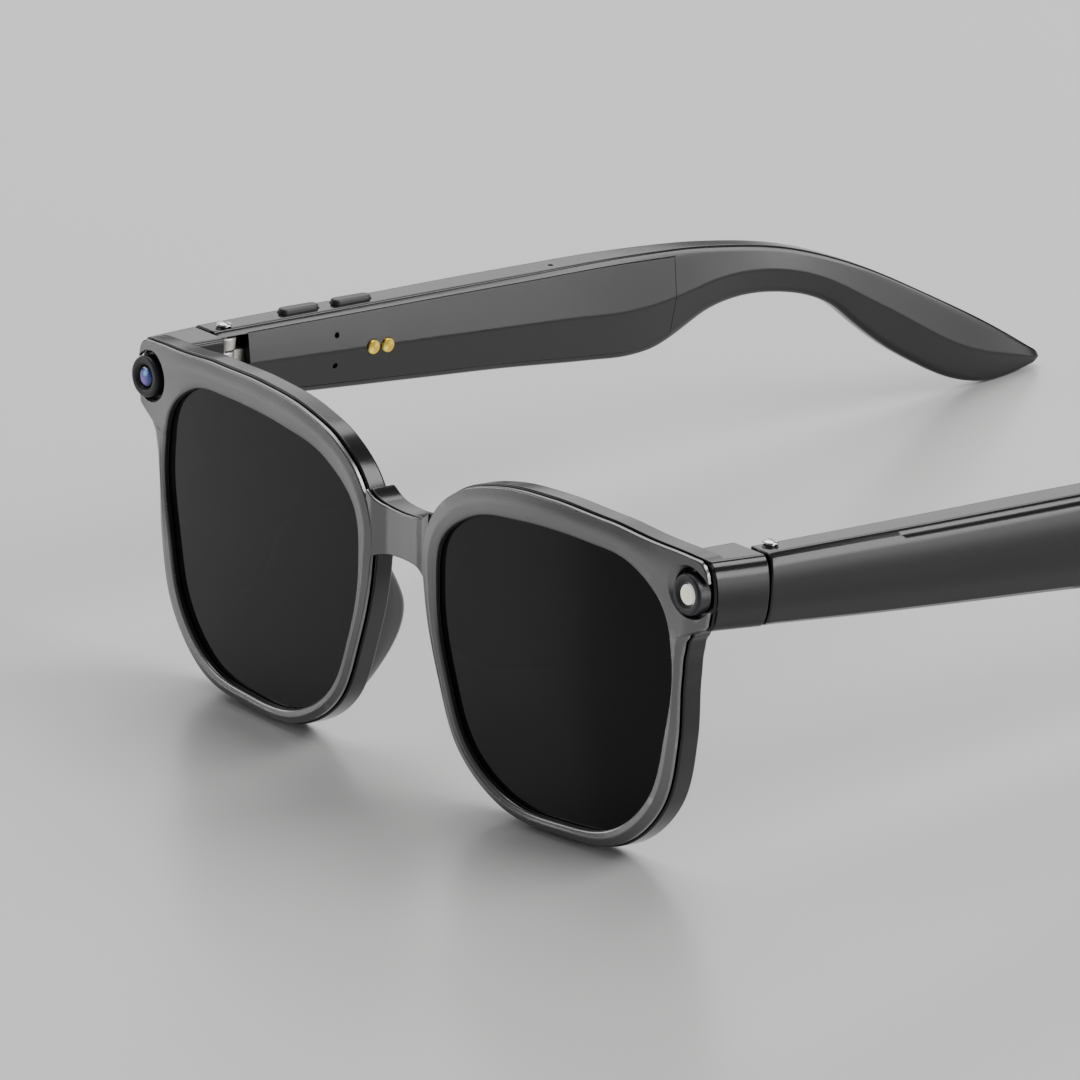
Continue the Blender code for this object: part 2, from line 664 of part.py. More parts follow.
def build_hinge(side, front_name, temple_name, screw_name):
    """Hinge: front leaf with two knuckles, temple leaf with one, and the screw through them."""
    front_leaf = leaf(front_name, side, MODULE_POCKET_END + 0.4, HINGE_Y,
                      (LOWER_KNUCKLE[0], UPPER_KNUCKLE[1]))
    knuckle = hinge_bar("knuckle", side, KNUCKLE_RADIUS, LOWER_KNUCKLE[0], UPPER_KNUCKLE[1])
    gap_block = box("gap_block", (side * HINGE_X - 4.0, END_BACK + 0.6, MIDDLE_KNUCKLE[0] - GAP),
                    (side * HINGE_X + 4.0, HINGE_Y + 4.0, MIDDLE_KNUCKLE[1] + GAP))
    bore = hinge_bar("pin_bore", side, PIN_RADIUS + SLIDE_GAP, -12.0, 2.0)
    tools = weld(front_leaf, knuckle) + cut(front_leaf, gap_block, bore)
    temple_leaf = leaf(temple_name, side, HINGE_Y, PANEL_START + 5.0, MIDDLE_KNUCKLE)
    middle = hinge_bar("middle", side, KNUCKLE_RADIUS, *MIDDLE_KNUCKLE)
    second_bore = hinge_bar("pin_bore", side, PIN_RADIUS + SLIDE_GAP, -12.0, 2.0)
    tools += weld(temple_leaf, middle) + cut(temple_leaf, second_bore)
    return [front_leaf], [temple_leaf, hinge_screw(screw_name, side)], tools


def leaf(name, side, low_y, high_y, heights):
    """Flat leaf of a hinge, running into the axis."""
    low_x, high_x = sorted((side * (HINGE_X - LEAF_HALF), side * (HINGE_X + LEAF_HALF)))
    return box(name, (low_x, low_y, heights[0]), (high_x, high_y, heights[1]), "metal")


def hinge_screw(name, side):
    """Domed screw through the hinge, its head on the temple's top face."""
    head = smooth(TEMPLE_TOP, HINGE_Y) + GAP
    steps = 6
    rings = [hinge_ring(side, PIN_RADIUS, LOWER_KNUCKLE[0]), hinge_ring(side, PIN_RADIUS, head)]
    for step in range(steps):
        angle = math.pi / 2 * step / steps
        radius = SCREW_HEAD_RADIUS * math.cos(angle)
        rings.append(hinge_ring(side, radius, head + SCREW_HEAD_HEIGHT * math.sin(angle)))
    return loft(name, rings, "metal")


# ---------------------------------------------------------------- electronics in the temples

def side_block(name, side, across, along, up, material):
    """Block on one side of the face, between places across, along and up."""
    low_x, high_x = sorted(side * x for x in across)
    return box(name, (low_x, along[0], up[0]), (high_x, along[1], up[1]), material)


def build_cell(side, name):
    """Battery cell in a temple."""
    return side_block(name, side, CELL_X, CELL_Y, CELL_Z, "cell")


def build_speaker(side, name):
    """Speaker box near the ear."""
    return side_block(name, side, SPEAKER_X, SPEAKER_Y, SPEAKER_Z, "module")


def build_board(side, name, places):
    """Circuit board lying against the outer wall."""
    return side_block(name, side, BOARD_X, places, BOARD_Z, "board")


def button_cutters(shell):
    """Slots for the two buttons in the top of the right temple."""
    tools = []
    for centre in BUTTON_CENTRES:
        outline = pill(-BUTTON_X, centre, BUTTON_LENGTH + 2 * SLIDE_GAP, BUTTON_WIDTH + 2 * SLIDE_GAP)
        tools += cut(shell, prism("slot", outline, -3.0, 4.0))
    return tools


def build_button(name, centre):
    """Pill-shaped button that slides in its slot."""
    top = smooth(TEMPLE_TOP, centre)
    outline = pill(-BUTTON_X, centre, BUTTON_LENGTH, BUTTON_WIDTH)
    return [prism(name, outline, top - BUTTON_DEPTH, top + BUTTON_PROUD)]


def build_switch_board():
    """Small board with the switches under the buttons."""
    start = BUTTON_CENTRES[0] - BUTTON_LENGTH / 2
    end = BUTTON_CENTRES[1] + BUTTON_LENGTH / 2
    (low_x, high_x), (low_z, high_z) = SWITCH_BOARD_X, SWITCH_BOARD_Z
    return box("switch_board_right", (low_x, start, low_z), (high_x, end, high_z), "board")


def build_contacts(panel):
    """Two charging contacts set into the ridge of the right inner panel."""
    things, tools = [], []
    for name, centre in zip(("charge_contact_front", "charge_contact_rear"), CONTACT_CENTRES):
        z = smooth(TEMPLE_RIDGE, centre)
        face = -inner_face_x(centre, z)
        hole = cylinder("contact_hole", (centre, z), CONTACT_RADIUS + 0.1, face - 3.0, face + 3.0, "X")
        tools += cut(panel, hole)
        things.append(cylinder(name, (centre, z), CONTACT_RADIUS, face - 1.4, face + 0.25, "X", "gold"))
    return things, tools


def microphone_cutters(panel, shell):
    """Sound holes of the microphones: two through the inner panel and one through the top."""
    tools = []
    for z in MICROPHONE_HEIGHTS:
        face = -inner_face_x(MICROPHONE_Y, z)
        hole = cylinder("sound_hole", (MICROPHONE_Y, z), MICROPHONE_RADIUS, face - 3.0, face + 3.0, "X",
                        steps=12)
        tools += cut(panel, hole)
    top = cylinder("sound_hole", (-BUTTON_X + 0.6, TOP_MICROPHONE_Y), MICROPHONE_RADIUS, -3.0, 3.0,
                   steps=12)
    return tools + cut(shell, top)


def build_microphones():
    """Microphone capsules behind the sound holes."""
    things = []
    for name, z in zip(("microphone_upper", "microphone_lower"), MICROPHONE_HEIGHTS):
        x = -inner_face_x(MICROPHONE_Y, z) - PANEL_THICKNESS - 2 * GAP
        deep, long, tall = CAPSULE
        low, high = (x - deep, MICROPHONE_Y - long, z - tall), (x, MICROPHONE_Y + long, z + tall)
        things.append(box(name, low, high))
    top = smooth(TEMPLE_TOP, TOP_MICROPHONE_Y) - PANEL_EDGE - 1.0
    things.append(box("microphone_top", (-BUTTON_X - 0.6, TOP_MICROPHONE_Y - 1.4, top - 1.0),
                      (-BUTTON_X + 1.6, TOP_MICROPHONE_Y + 1.4, top)))
    return things


# ---------------------------------------------------------------- assembly

def empty(name, location=(0.0, 0.0, 0.0), rotation=(0.0, 0.0, 0.0), parent=None):
    """Place an empty in the wearing frame."""
    holder = bpy.data.objects.new(name, None)
    bpy.context.scene.collection.objects.link(holder)
    holder.location = Vector(location) * MM
    holder.rotation_euler = Euler(rotation)
    holder.parent = parent
    return holder


def attach(things, holder):
    """Parent pieces modelled in the wearing frame to an empty of that frame."""
    back = Matrix.LocRotScale(holder.location, holder.rotation_euler, None).inverted()
    for thing in things:
        thing.parent = holder
        thing.matrix_parent_inverse = back


def tilted(points, tilt):
    """Depths and heights of points after the tilt that lowers the temple tips."""
    depths = [y * math.cos(tilt) + z * math.sin(tilt) for _, y, z in points]
    heights = [z * math.cos(tilt) - y * math.sin(tilt) for _, y, z in points]
    return depths, heights


def resting_place():
    """Tilt at which rims and temple tips touch the floor together, and the shift to the origin."""
    rim = [point for _, grow, depth in front_profile()[-2:] + cover_profile()[4:7]
           for point in eye_ring(1, RIM_OUTLINE, grow, depth)]
    tips = [point for y in stations(BUTT_Y, TEMPLE_END, TEMPLE_STATIONS) for point in temple_section(y)]
    low, high = 0.0, math.radians(20.0)
    for _ in range(50):
        middle = (low + high) / 2
        if min(tilted(tips, middle)[1]) > min(tilted(rim, middle)[1]):
            low = middle
        else:
            high = middle
    depths, heights = tilted(rim + tips, low)
    return low, -(min(depths) + max(depths)) / 2, -min(heights)


def build():
    """Model every piece and hang it on its joint."""
    tilt, shift_y, shift_z = resting_place()
    rest = empty("resting_frame", (0.0, shift_y, shift_z), (-tilt, 0.0, 0.0))
    front = empty("front", parent=rest)
    pivots = {}
    for side, tag in ((1, "left"), (-1, "right")):
        pivots[side] = empty("hinge_axis_" + tag, (side * HINGE_X, HINGE_Y, HINGE_MIDDLE),
                             (0.0, -side * HINGE_LEAN, 0.0), rest)
    attach(build_front_frame() + build_back_cover(), front)
    attach(build_lens(1, "lens_left") + build_lens(-1, "lens_right"), front)
    camera, light = build_camera(), build_light()
    attach(camera + light, front)
    for side, tag in ((1, "left"), (-1, "right")):
        shell = build_temple_shell(side, "temple_shell_" + tag)
        panel = build_panel(side, "temple_panel_" + tag)
        front_leaf, temple_leaf, tools = build_hinge(side, "hinge_front_leaf_" + tag,
                                                     "hinge_temple_leaf_" + tag, "hinge_screw_" + tag)
        attach(front_leaf, front)
        things = shell + panel + temple_leaf + tools
        things += [build_cell(side, "battery_" + tag), build_speaker(side, "speaker_" + tag)]
        if side == 1:
            things.append(build_board(side, "audio_board_left", AUDIO_BOARD_Y))
        else:
            things += [build_board(side, "main_board_right", MAIN_BOARD_Y), build_switch_board()]
            contacts, contact_tools = build_contacts(panel[0])
            things += contacts + contact_tools + microphone_cutters(panel[0], shell[0])
            things += button_cutters(shell[0]) + build_microphones()
        attach(things, pivots[side])
    for name, centre in zip(("button_front", "button_rear"), BUTTON_CENTRES):
        place = (-BUTTON_X, centre, smooth(TEMPLE_TOP, centre))
        holder = empty(name + "_slide", place)
        attach([holder], pivots[-1])
        attach(build_button(name, centre), holder)


for old in list(bpy.data.objects):
    bpy.data.objects.remove(old)
build()
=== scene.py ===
import json
import logging
import math
from dataclasses import dataclass
from enum import Enum
from typing import Any, Iterable, Sequence

import bmesh
import bpy
import numpy as np
from mathutils import Matrix, Vector


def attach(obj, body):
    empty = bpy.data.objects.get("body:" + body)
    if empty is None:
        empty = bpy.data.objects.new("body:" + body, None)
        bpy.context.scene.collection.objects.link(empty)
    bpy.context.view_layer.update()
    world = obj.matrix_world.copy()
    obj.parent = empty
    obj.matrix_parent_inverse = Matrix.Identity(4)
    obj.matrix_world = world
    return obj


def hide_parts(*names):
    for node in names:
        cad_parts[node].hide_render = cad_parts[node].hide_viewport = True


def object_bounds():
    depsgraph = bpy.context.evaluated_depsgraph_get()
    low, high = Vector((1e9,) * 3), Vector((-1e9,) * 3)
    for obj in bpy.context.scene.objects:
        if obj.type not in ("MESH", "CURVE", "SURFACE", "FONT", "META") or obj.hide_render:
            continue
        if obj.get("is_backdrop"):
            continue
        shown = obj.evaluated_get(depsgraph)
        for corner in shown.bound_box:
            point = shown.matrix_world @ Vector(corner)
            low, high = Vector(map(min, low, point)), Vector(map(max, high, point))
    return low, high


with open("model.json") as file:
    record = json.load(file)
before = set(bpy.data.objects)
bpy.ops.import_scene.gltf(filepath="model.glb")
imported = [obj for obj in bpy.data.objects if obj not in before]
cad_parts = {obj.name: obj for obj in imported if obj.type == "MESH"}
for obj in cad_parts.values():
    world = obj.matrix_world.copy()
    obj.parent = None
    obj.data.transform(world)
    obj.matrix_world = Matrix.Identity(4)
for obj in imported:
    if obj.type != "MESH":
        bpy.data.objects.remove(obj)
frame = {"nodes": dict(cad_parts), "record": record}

LOG = logging.getLogger("smart_glasses")
MM = 0.001
SMOOTH_ANGLE = math.radians(32.0)
Point = tuple[float, float, float]
Pair = tuple[float, float]


class Side(Enum):
    """Side of the wearer's head; the value is the sign of X."""

    LEFT = 1
    RIGHT = -1

    @property
    def tag(self) -> str:
        """Name ending used by the pieces of this side."""
        return self.name.lower()


class Axis(Enum):
    """Axis of the wearing frame that a turned piece stands on."""

    ACROSS = 0
    BACKWARD = 1
    UP = 2


class Join(Enum):
    """Boolean operation between solids."""

    ADD = "UNION"
    CUT = "DIFFERENCE"


# ---------------------------------------------------------------- shader maths

Value = Any


class Signal:
    """Output socket of a shader node; operators on it add Math nodes."""

    def __init__(self, graph: "Graph", socket: bpy.types.NodeSocket) -> None:
        """Wrap a socket of a graph."""
        self.graph = graph
        self.socket = socket

    def __add__(self, other: Value) -> "Signal":
        """Sum."""
        return self.graph.math("ADD", self, other)

    def __radd__(self, other: Value) -> "Signal":
        """Reflected sum."""
        return self.graph.math("ADD", other, self)

    def __sub__(self, other: Value) -> "Signal":
        """Difference."""
        return self.graph.math("SUBTRACT", self, other)

    def __rsub__(self, other: Value) -> "Signal":
        """Reflected difference."""
        return self.graph.math("SUBTRACT", other, self)

    def __mul__(self, other: Value) -> "Signal":
        """Product."""
        return self.graph.math("MULTIPLY", self, other)

    def __rmul__(self, other: Value) -> "Signal":
        """Reflected product."""
        return self.graph.math("MULTIPLY", other, self)

    def __truediv__(self, other: Value) -> "Signal":
        """Quotient."""
        return self.graph.math("DIVIDE", self, other)

    def __pow__(self, other: Value) -> "Signal":
        """Power."""
        return self.graph.math("POWER", self, other)

    def clamped(self, low: float = 0.0, high: float = 1.0) -> "Signal":
        """Limit the value to a range."""
        return self.graph.node("ShaderNodeClamp", None, {"Value": self, "Min": low, "Max": high})

    def band(self, low: float, high: float) -> "Signal":
        """Ramp smoothly from 0 at low to 1 at high."""
        sockets = {"Value": self, "From Min": low, "From Max": high}
        return self.graph.node("ShaderNodeMapRange", {"interpolation_type": "SMOOTHSTEP"}, sockets)


class Graph:
    """Node tree of one material."""

    def __init__(self, tree: bpy.types.NodeTree) -> None:
        """Take over a material's node tree."""
        self.tree = tree

    def node(self, kind: str, settings: dict[str, Any] | None = None,
             sockets: dict[Any, Value] | None = None, output: Any = 0) -> Signal:
        """Add one node.

        Args:
            kind: Type name of the node.
            settings: Properties set before the sockets.
            sockets: Values or signals for input sockets, by name or number.
            output: Name or number of the output to return.

        Returns:
            The chosen output as a signal.
        """
        made = self.tree.nodes.new(kind)
        for key, setting in (settings or {}).items():
            setattr(made, key, setting)
        for key, value in (sockets or {}).items():
            self.feed(made.inputs[key], value)
        return Signal(self, made.outputs[output])

    def feed(self, socket: bpy.types.NodeSocket, value: Value) -> None:
        """Link a signal to a socket, or set the socket to a constant.

        Args:
            socket: Input socket.
            value: Signal or constant.
        """
        if isinstance(value, Signal):
            self.tree.links.new(value.socket, socket)
        elif isinstance(value, (tuple, list)) and socket.type == "RGBA" and len(value) == 3:
            socket.default_value = (*value, 1.0)
        else:
            socket.default_value = value

    def math(self, operation: str, *values: Value) -> Signal:
        """Add a Math node on one or two values."""
        return self.node("ShaderNodeMath", {"operation": operation}, dict(enumerate(values)))

    def mix(self, factor: Value, first: Value, second: Value) -> Signal:
        """Blend two colours."""
        sockets = {"Factor": factor, 6: first, 7: second}
        return self.node("ShaderNodeMix", {"data_type": "RGBA"}, sockets, 2)

    def place(self, shift: Point = (0.0, 0.0, 0.0), turn: Point = (0.0, 0.0, 0.0),
              stretch: Point = (1.0, 1.0, 1.0)) -> Signal:
        """Object coordinates, shifted, turned and stretched."""
        coordinates = self.node("ShaderNodeTexCoord", None, None, "Object")
        sockets = {"Vector": coordinates, "Location": shift, "Rotation": turn, "Scale": stretch}
        return self.node("ShaderNodeMapping", {"vector_type": "POINT"}, sockets)

    def noise(self, vector: Signal, scale: float, detail: float = 2.0, roughness: float = 0.5) -> Signal:
        """Fractal noise from 0 to 1."""
        sockets = {"Vector": vector, "Scale": scale, "Detail": detail, "Roughness": roughness}
        return self.node("ShaderNodeTexNoise", None, sockets, "Fac")

    def bump(self, height: Value, distance: float, strength: float = 1.0) -> Signal:
        """Normal from a height in units of a distance in metres."""
        sockets = {"Height": height, "Distance": distance, "Strength": strength}
        return self.node("ShaderNodeBump", None, sockets)


# ---------------------------------------------------------------- finishes

@dataclass(frozen=True)
class Finish:
    """Base of every finish: a named Principled material built once."""

    name: str
    slot: str

    def material(self) -> bpy.types.Material:
        """Build the material, or return the one already built under this name."""
        ready = bpy.data.materials.get(self.name)
        if ready is not None:
            return ready
        made = bpy.data.materials.new(self.name)
        made.use_nodes = True
        graph = Graph(made.node_tree)
        shader = made.node_tree.nodes["Principled BSDF"]
        for socket, value in self.sockets(graph).items():
            graph.feed(shader.inputs[socket], value)
        return made

    def sockets(self, graph: Graph) -> dict[str, Value]:
        """Values and signals of the Principled sockets; each finish gives its own."""
        raise NotImplementedError


@dataclass(frozen=True)
class MouldedPlastic(Finish):
    """Injection-moulded black plastic: fine mould grain, cloudy gloss, faint rubbed edges."""

    colour: Point = (0.055, 0.055, 0.057)
    roughness: float = 0.27
    metallic: float = 0.0
    coat: float = 0.0
    coat_roughness: float = 0.08
    ior: float = 1.5
    grain: float = 0.000006

    def sockets(self, graph: Graph) -> dict[str, Value]:
        """Noise clouds drive colour and gloss, a fine grain drives the bump.

        Args:
            graph: Tree that takes the nodes.

        Returns:
            Values and signals by socket name.
        """
        spot = graph.place()
        clouds = graph.noise(spot, 38.0, 3.0)
        fine = graph.noise(spot, 5200.0, 1.0)
        dust = graph.noise(spot, 900.0, 2.0).band(0.66, 0.8)
        edge = graph.node("ShaderNodeNewGeometry", None, None, "Pointiness").band(0.53, 0.60)
        lift = tuple(min(1.0, part * 1.35) for part in self.colour)
        base = graph.mix(clouds.band(0.3, 0.75), self.colour, lift)
        rubbed = graph.mix(edge * 0.5, base, tuple(part * 1.8 + 0.002 for part in self.colour))
        return {
            "Base Color": rubbed,
            "Roughness": (self.roughness + (clouds - 0.5) * 0.09 + dust * 0.06 - edge * 0.05).clamped(),
            "Metallic": self.metallic,
            "Coat Weight": self.coat,
            "Coat Roughness": self.coat_roughness,
            "IOR": self.ior,
            "Normal": graph.bump(fine, self.grain, 0.6),
        }


@dataclass(frozen=True)
class TintedLens(Finish):
    """Nearly opaque tinted lens with an anti-reflective outer face."""

    colour: Point = (0.0045, 0.0045, 0.0043)
    specular: float = 0.14

    def sockets(self, graph: Graph) -> dict[str, Value]:
        """A slight tint gradient down the lens, a few wipe marks in the gloss.

        Args:
            graph: Tree that takes the nodes.

        Returns:
            Values and signals by socket name.
        """
        spot = graph.place(stretch=(1.0, 1.0, 2.5))
        wipe = graph.noise(spot, 55.0, 4.0)
        height = graph.node("ShaderNodeSeparateXYZ", None, {"Vector": graph.place()}, "Z")
        shade = height.band(0.0, 0.052)
        return {
            "Base Color": graph.mix(shade, tuple(part * 1.25 for part in self.colour), self.colour),
            "Roughness": (wipe.band(0.45, 0.8) * 0.05 + 0.035).clamped(),
            "Specular IOR Level": self.specular,
            "Alpha": (0.982 + shade * 0.008).clamped(),
        }


@dataclass(frozen=True)
class SatinMetal(Finish):
    """Machined metal with fine lines along one direction."""

    colour: Point = (0.62, 0.60, 0.56)
    roughness: float = 0.28
    lines: Point = (300.0, 9000.0, 9000.0)

    def sockets(self, graph: Graph) -> dict[str, Value]:
        """Stretched noise gives the machining lines.

        Args:
            graph: Tree that takes the nodes.

        Returns:
            Values and signals by socket name.
        """
        marks = graph.noise(graph.place(stretch=self.lines), 1.0, 2.0)
        spots = graph.noise(graph.place(), 700.0, 2.0)
        return {
            "Base Color": graph.mix(spots.band(0.35, 0.8) * 0.5, self.colour,
                                    tuple(part * 0.72 for part in self.colour)),
            "Roughness": (self.roughness + (marks - 0.5) * 0.25).clamped(),
            "Metallic": 1.0,
            "Normal": graph.bump(marks, 0.000008, 0.5),
        }


@dataclass(frozen=True)
class TurnedGold(Finish):
    """Gold plate with a painted radial sheen of a turned disc, read from the piece's own attribute."""

    colour: Point = (0.92, 0.62, 0.07)
    attribute: str = "disc_place"

    def sockets(self, graph: Graph) -> dict[str, Value]:
        """Angle round the disc drives a painted sheen, light and dark lobes in the colour; radius drives
        turning rings.

        Args:
            graph: Tree that takes the nodes.

        Returns:
            Values and signals by socket name.
        """
        place = graph.node("ShaderNodeAttribute", {"attribute_name": self.attribute}, None, "Vector")
        across = graph.node("ShaderNodeSeparateXYZ", None, {"Vector": place}, "Y")
        up = graph.node("ShaderNodeSeparateXYZ", None, {"Vector": place}, "Z")
        angle = graph.math("ARCTAN2", up, across)
        radius = graph.node("ShaderNodeVectorMath", {"operation": "LENGTH"}, {0: place}, "Value")
        # Painted sheen: two light and two dark lobes round the disc are put in the colour to stand in for
        # the reflection of a turned surface.
        painted_sheen_sectors = (graph.math("SINE", angle * 2.0 + 0.6) * 0.5 + 0.5) ** 2.0
        spokes = graph.math("SINE", angle * 34.0) * 0.5 + 0.5
        rings = graph.math("SINE", radius * 52000.0) * 0.5 + 0.5
        dark = tuple(part * 0.55 for part in self.colour)
        # Colour of the painted highlight in the sheen.
        painted_highlight_gold = (1.0, 0.78, 0.16)
        return {
            "Base Color": graph.mix(painted_sheen_sectors * 0.8 + spokes * 0.2, dark, painted_highlight_gold),
            "Roughness": (0.24 + rings * 0.10 + spokes * 0.06).clamped(),
            "Metallic": 1.0,
            "Normal": graph.bump(rings, 0.000010, 0.4),
        }


@dataclass(frozen=True)
class CoatedOptic(Finish):
    """Camera front glass: deep blue coating with a painted pale highlight, a painted violet reflection low
    on the glass, an edge darkened towards black, and a painted glow.
    """

    centre: Point = (0.0, 0.0, 0.0)
    radius: float = 0.0015

    def sockets(self, graph: Graph) -> dict[str, Value]:
        """Distances from two off-centre points give the painted highlight and the painted violet reflection;
        distance from the middle darkens the edge.

        Args:
            graph: Tree that takes the nodes.

        Returns:
            Values and signals by socket name.
        """
        scale = 1.0 / self.radius
        spot = graph.place(shift=tuple(-part * scale for part in self.centre), stretch=(scale,) * 3)
        # Painted highlight: a pale blue patch near the top stands in for a reflected light.
        painted_flare_highlight = self._away(graph, spot, (0.05, 0.0, 0.42))
        # Painted reflection: a violet patch low on the glass, as the coating reflects.
        low = self._away(graph, spot, (-0.30, 0.0, -0.45))
        core = self._away(graph, spot, (0.0, 0.0, 0.0))
        ripple = graph.noise(spot, 3.0, 2.0)
        # Coating blue, with the painted violet reflection mixed in.
        deep = graph.mix(low.band(0.75, 0.15), (0.012, 0.03, 0.26), (0.16, 0.06, 0.42))
        with_painted_highlight = graph.mix((painted_flare_highlight + ripple * 0.25).band(0.62, 0.20), deep, (0.30, 0.52, 0.95))
        ring = graph.mix(core.band(0.72, 0.98), with_painted_highlight, (0.004, 0.004, 0.012))
        return {
            "Base Color": ring,
            "Roughness": (0.05 + ripple * 0.04).clamped(),
            "Coat Weight": 0.6,
            # Painted glow: the glass emits its own colour, painted highlight included, though it is no lamp.
            "Emission Color": ring,
            "Emission Strength": 0.35,
        }

    @staticmethod
    def _away(graph: Graph, spot: Signal, point: Point) -> Signal:
        """Distance from a point, in lens radii."""
        return graph.node("ShaderNodeVectorMath", {"operation": "DISTANCE"}, {0: spot, 1: point}, "Value")


@dataclass(frozen=True)
class Phosphor(Finish):
    """Capture light: milky window over yellow phosphor dies."""

    centre: Point = (0.0, 0.0, 0.0)
    radius: float = 0.0015

    def sockets(self, graph: Graph) -> dict[str, Value]:
        """Cloudy noise breaks the yellow patch into the dies seen through the window.

        Args:
            graph: Tree that takes the nodes.

        Returns:
            Values and signals by socket name.
        """
        scale = 1.0 / self.radius
        spot = graph.place(shift=tuple(-part * scale for part in self.centre), stretch=(scale,) * 3)
        away = graph.node("ShaderNodeVectorMath", {"operation": "LENGTH"}, {0: spot}, "Value")
        cells = graph.node("ShaderNodeTexVoronoi", {"feature": "F1"}, {"Vector": spot, "Scale": 2.6},
                           "Distance")
        yellow = ((cells.band(0.55, 0.1)) * away.band(0.85, 0.35)).clamped()
        shade = graph.mix(yellow, (0.90, 0.90, 0.82), (0.88, 0.80, 0.10))
        return {
            "Base Color": shade,
            "Roughness": (0.22 + cells * 0.1).clamped(),
            "Emission Color": shade,
            "Emission Strength": 0.55,
        }


@dataclass(frozen=True)
class CircuitBoard(Finish):
    """Solder mask with tracks and pads."""

    colour: Point = (0.012, 0.075, 0.035)

    def sockets(self, graph: Graph) -> dict[str, Value]:
        """A fine brick pattern gives tracks and pads under the mask.

        Args:
            graph: Tree that takes the nodes.

        Returns:
            Values and signals by socket name.
        """
        spot = graph.place()
        pads = graph.node("ShaderNodeTexVoronoi", {"feature": "F1", "distance": "CHEBYCHEV"},
                          {"Vector": spot, "Scale": 900.0}, "Distance")
        tracks = graph.node("ShaderNodeTexWave", {"bands_direction": "Y"},
                            {"Vector": spot, "Scale": 420.0, "Distortion": 1.2}, "Fac")
        copper = pads.band(0.24, 0.18)
        green = graph.mix(tracks.band(0.5, 0.7) * 0.6, self.colour, (0.03, 0.16, 0.07))
        return {
            "Base Color": graph.mix(copper, green, (0.75, 0.52, 0.16)),
            "Metallic": copper * 0.9,
            "Roughness": (0.42 - copper * 0.15).clamped(),
            "Normal": graph.bump(tracks, 0.00003, 0.4),
        }


@dataclass(frozen=True)
class CellFoil(Finish):
    """Crinkled aluminium laminate of a battery pouch."""

    colour: Point = (0.58, 0.59, 0.61)

    def sockets(self, graph: Graph) -> dict[str, Value]:
        """Crumple from two noises.

        Args:
            graph: Tree that takes the nodes.

        Returns:
            Values and signals by socket name.
        """
        spot = graph.place()
        crease = graph.noise(spot, 420.0, 5.0, 0.65)
        stain = graph.noise(spot, 90.0, 2.0)
        return {
            "Base Color": graph.mix(stain.band(0.3, 0.8), self.colour, (0.40, 0.41, 0.43)),
            "Metallic": 0.85,
            "Roughness": (0.28 + crease * 0.15).clamped(),
            "Normal": graph.bump(crease, 0.00010, 0.6),
        }


@dataclass(frozen=True)
class StudioFloor(Finish):
    """Pale satin sweep."""

    colour: Point = (0.60, 0.60, 0.592)

    def sockets(self, graph: Graph) -> dict[str, Value]:
        """Slow cloudiness in colour and gloss, fine paint stipple.

        Args:
            graph: Tree that takes the nodes.

        Returns:
            Values and signals by socket name.
        """
        spot = graph.place()
        clouds = graph.noise(spot, 3.0, 2.0)
        stipple = graph.noise(spot, 1500.0, 1.0)
        return {
            "Base Color": graph.mix(clouds, self.colour, tuple(part * 0.975 for part in self.colour)),
            "Roughness": (0.25 + clouds * 0.04).clamped(),
            "Specular IOR Level": 0.45,
            "Normal": graph.bump(stipple, 0.00002, 0.25),
        }


PLATE_PLASTIC = MouldedPlastic("plate_satin_black", "frame_black", (0.165, 0.165, 0.168), 0.24, 0.90)
COVER_PLASTIC = MouldedPlastic("cover_gloss_black", "frame_black", (0.0035, 0.0035, 0.0036), 0.17)
TEMPLE_PLASTIC = MouldedPlastic("temple_gloss_black", "frame_black", (0.0035, 0.0035, 0.0036), 0.17)
PANEL_PLASTIC = MouldedPlastic("panel_satin_black", "frame_black", (0.0040, 0.0040, 0.0041), 0.20)
MODULE_PLASTIC = MouldedPlastic("module_black", "module_black", (0.012, 0.012, 0.013), 0.24)
BUTTON_PLASTIC = MouldedPlastic("button_black", "button_black", (0.006, 0.006, 0.0062), 0.22)
SEAL_RUBBER = MouldedPlastic("seal_black", "frame_black", (0.010, 0.010, 0.010), 0.45)
LENS_TINT = TintedLens("lens_tint", "dark_lens")
HINGE_METAL = SatinMetal("hinge_metal", "hinge_metal", (0.80, 0.76, 0.66))
SCREW_METAL = SatinMetal("screw_metal", "hinge_metal", (0.60, 0.60, 0.60), 0.22, (6000.0, 6000.0, 300.0))
CONTACT_GOLD = TurnedGold("contact_gold", "gold_contact")
BOARD_MASK = CircuitBoard("board_mask", "circuit_board")
POUCH_FOIL = CellFoil("cell_foil", "cell_foil")
FLOOR_SWEEP = StudioFloor("floor_sweep", "")


# ---------------------------------------------------------------- curves and frames

@dataclass(frozen=True)
class WearingFrame:
    """Pose of the wearing frame, in which sizes are given in mm, inside the row frame."""

    rotation: Matrix
    origin: Vector

    @classmethod
    def from_record(cls, hinge: Point) -> "WearingFrame":
        """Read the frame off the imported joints.

        Args:
            hinge: Place of the left hinge pivot in the wearing frame, in mm.

        Returns:
            The frame whose hinge pivot and button direction agree with the record.
        """
        joints = {joint["name"]: joint for joint in frame["record"]["behaviour"]["joints"]}
        press = joints["button_front_press"]["axis"]
        rotation = Matrix.Rotation(-math.atan2(-press[1], -press[2]), 3, "X")
        pivot = Vector(joints["temple_left_fold"]["pos_m"])
        return cls(rotation, pivot - rotation @ (Vector(hinge) * MM))

    def place(self, point: Sequence[float]) -> Vector:
        """Row-frame place of a wearing-frame point given in mm."""
        return self.rotation @ (Vector(point) * MM) + self.origin

    def turn(self, direction: Sequence[float]) -> Vector:
        """Row-frame direction of a wearing-frame direction."""
        return self.rotation @ Vector(direction)


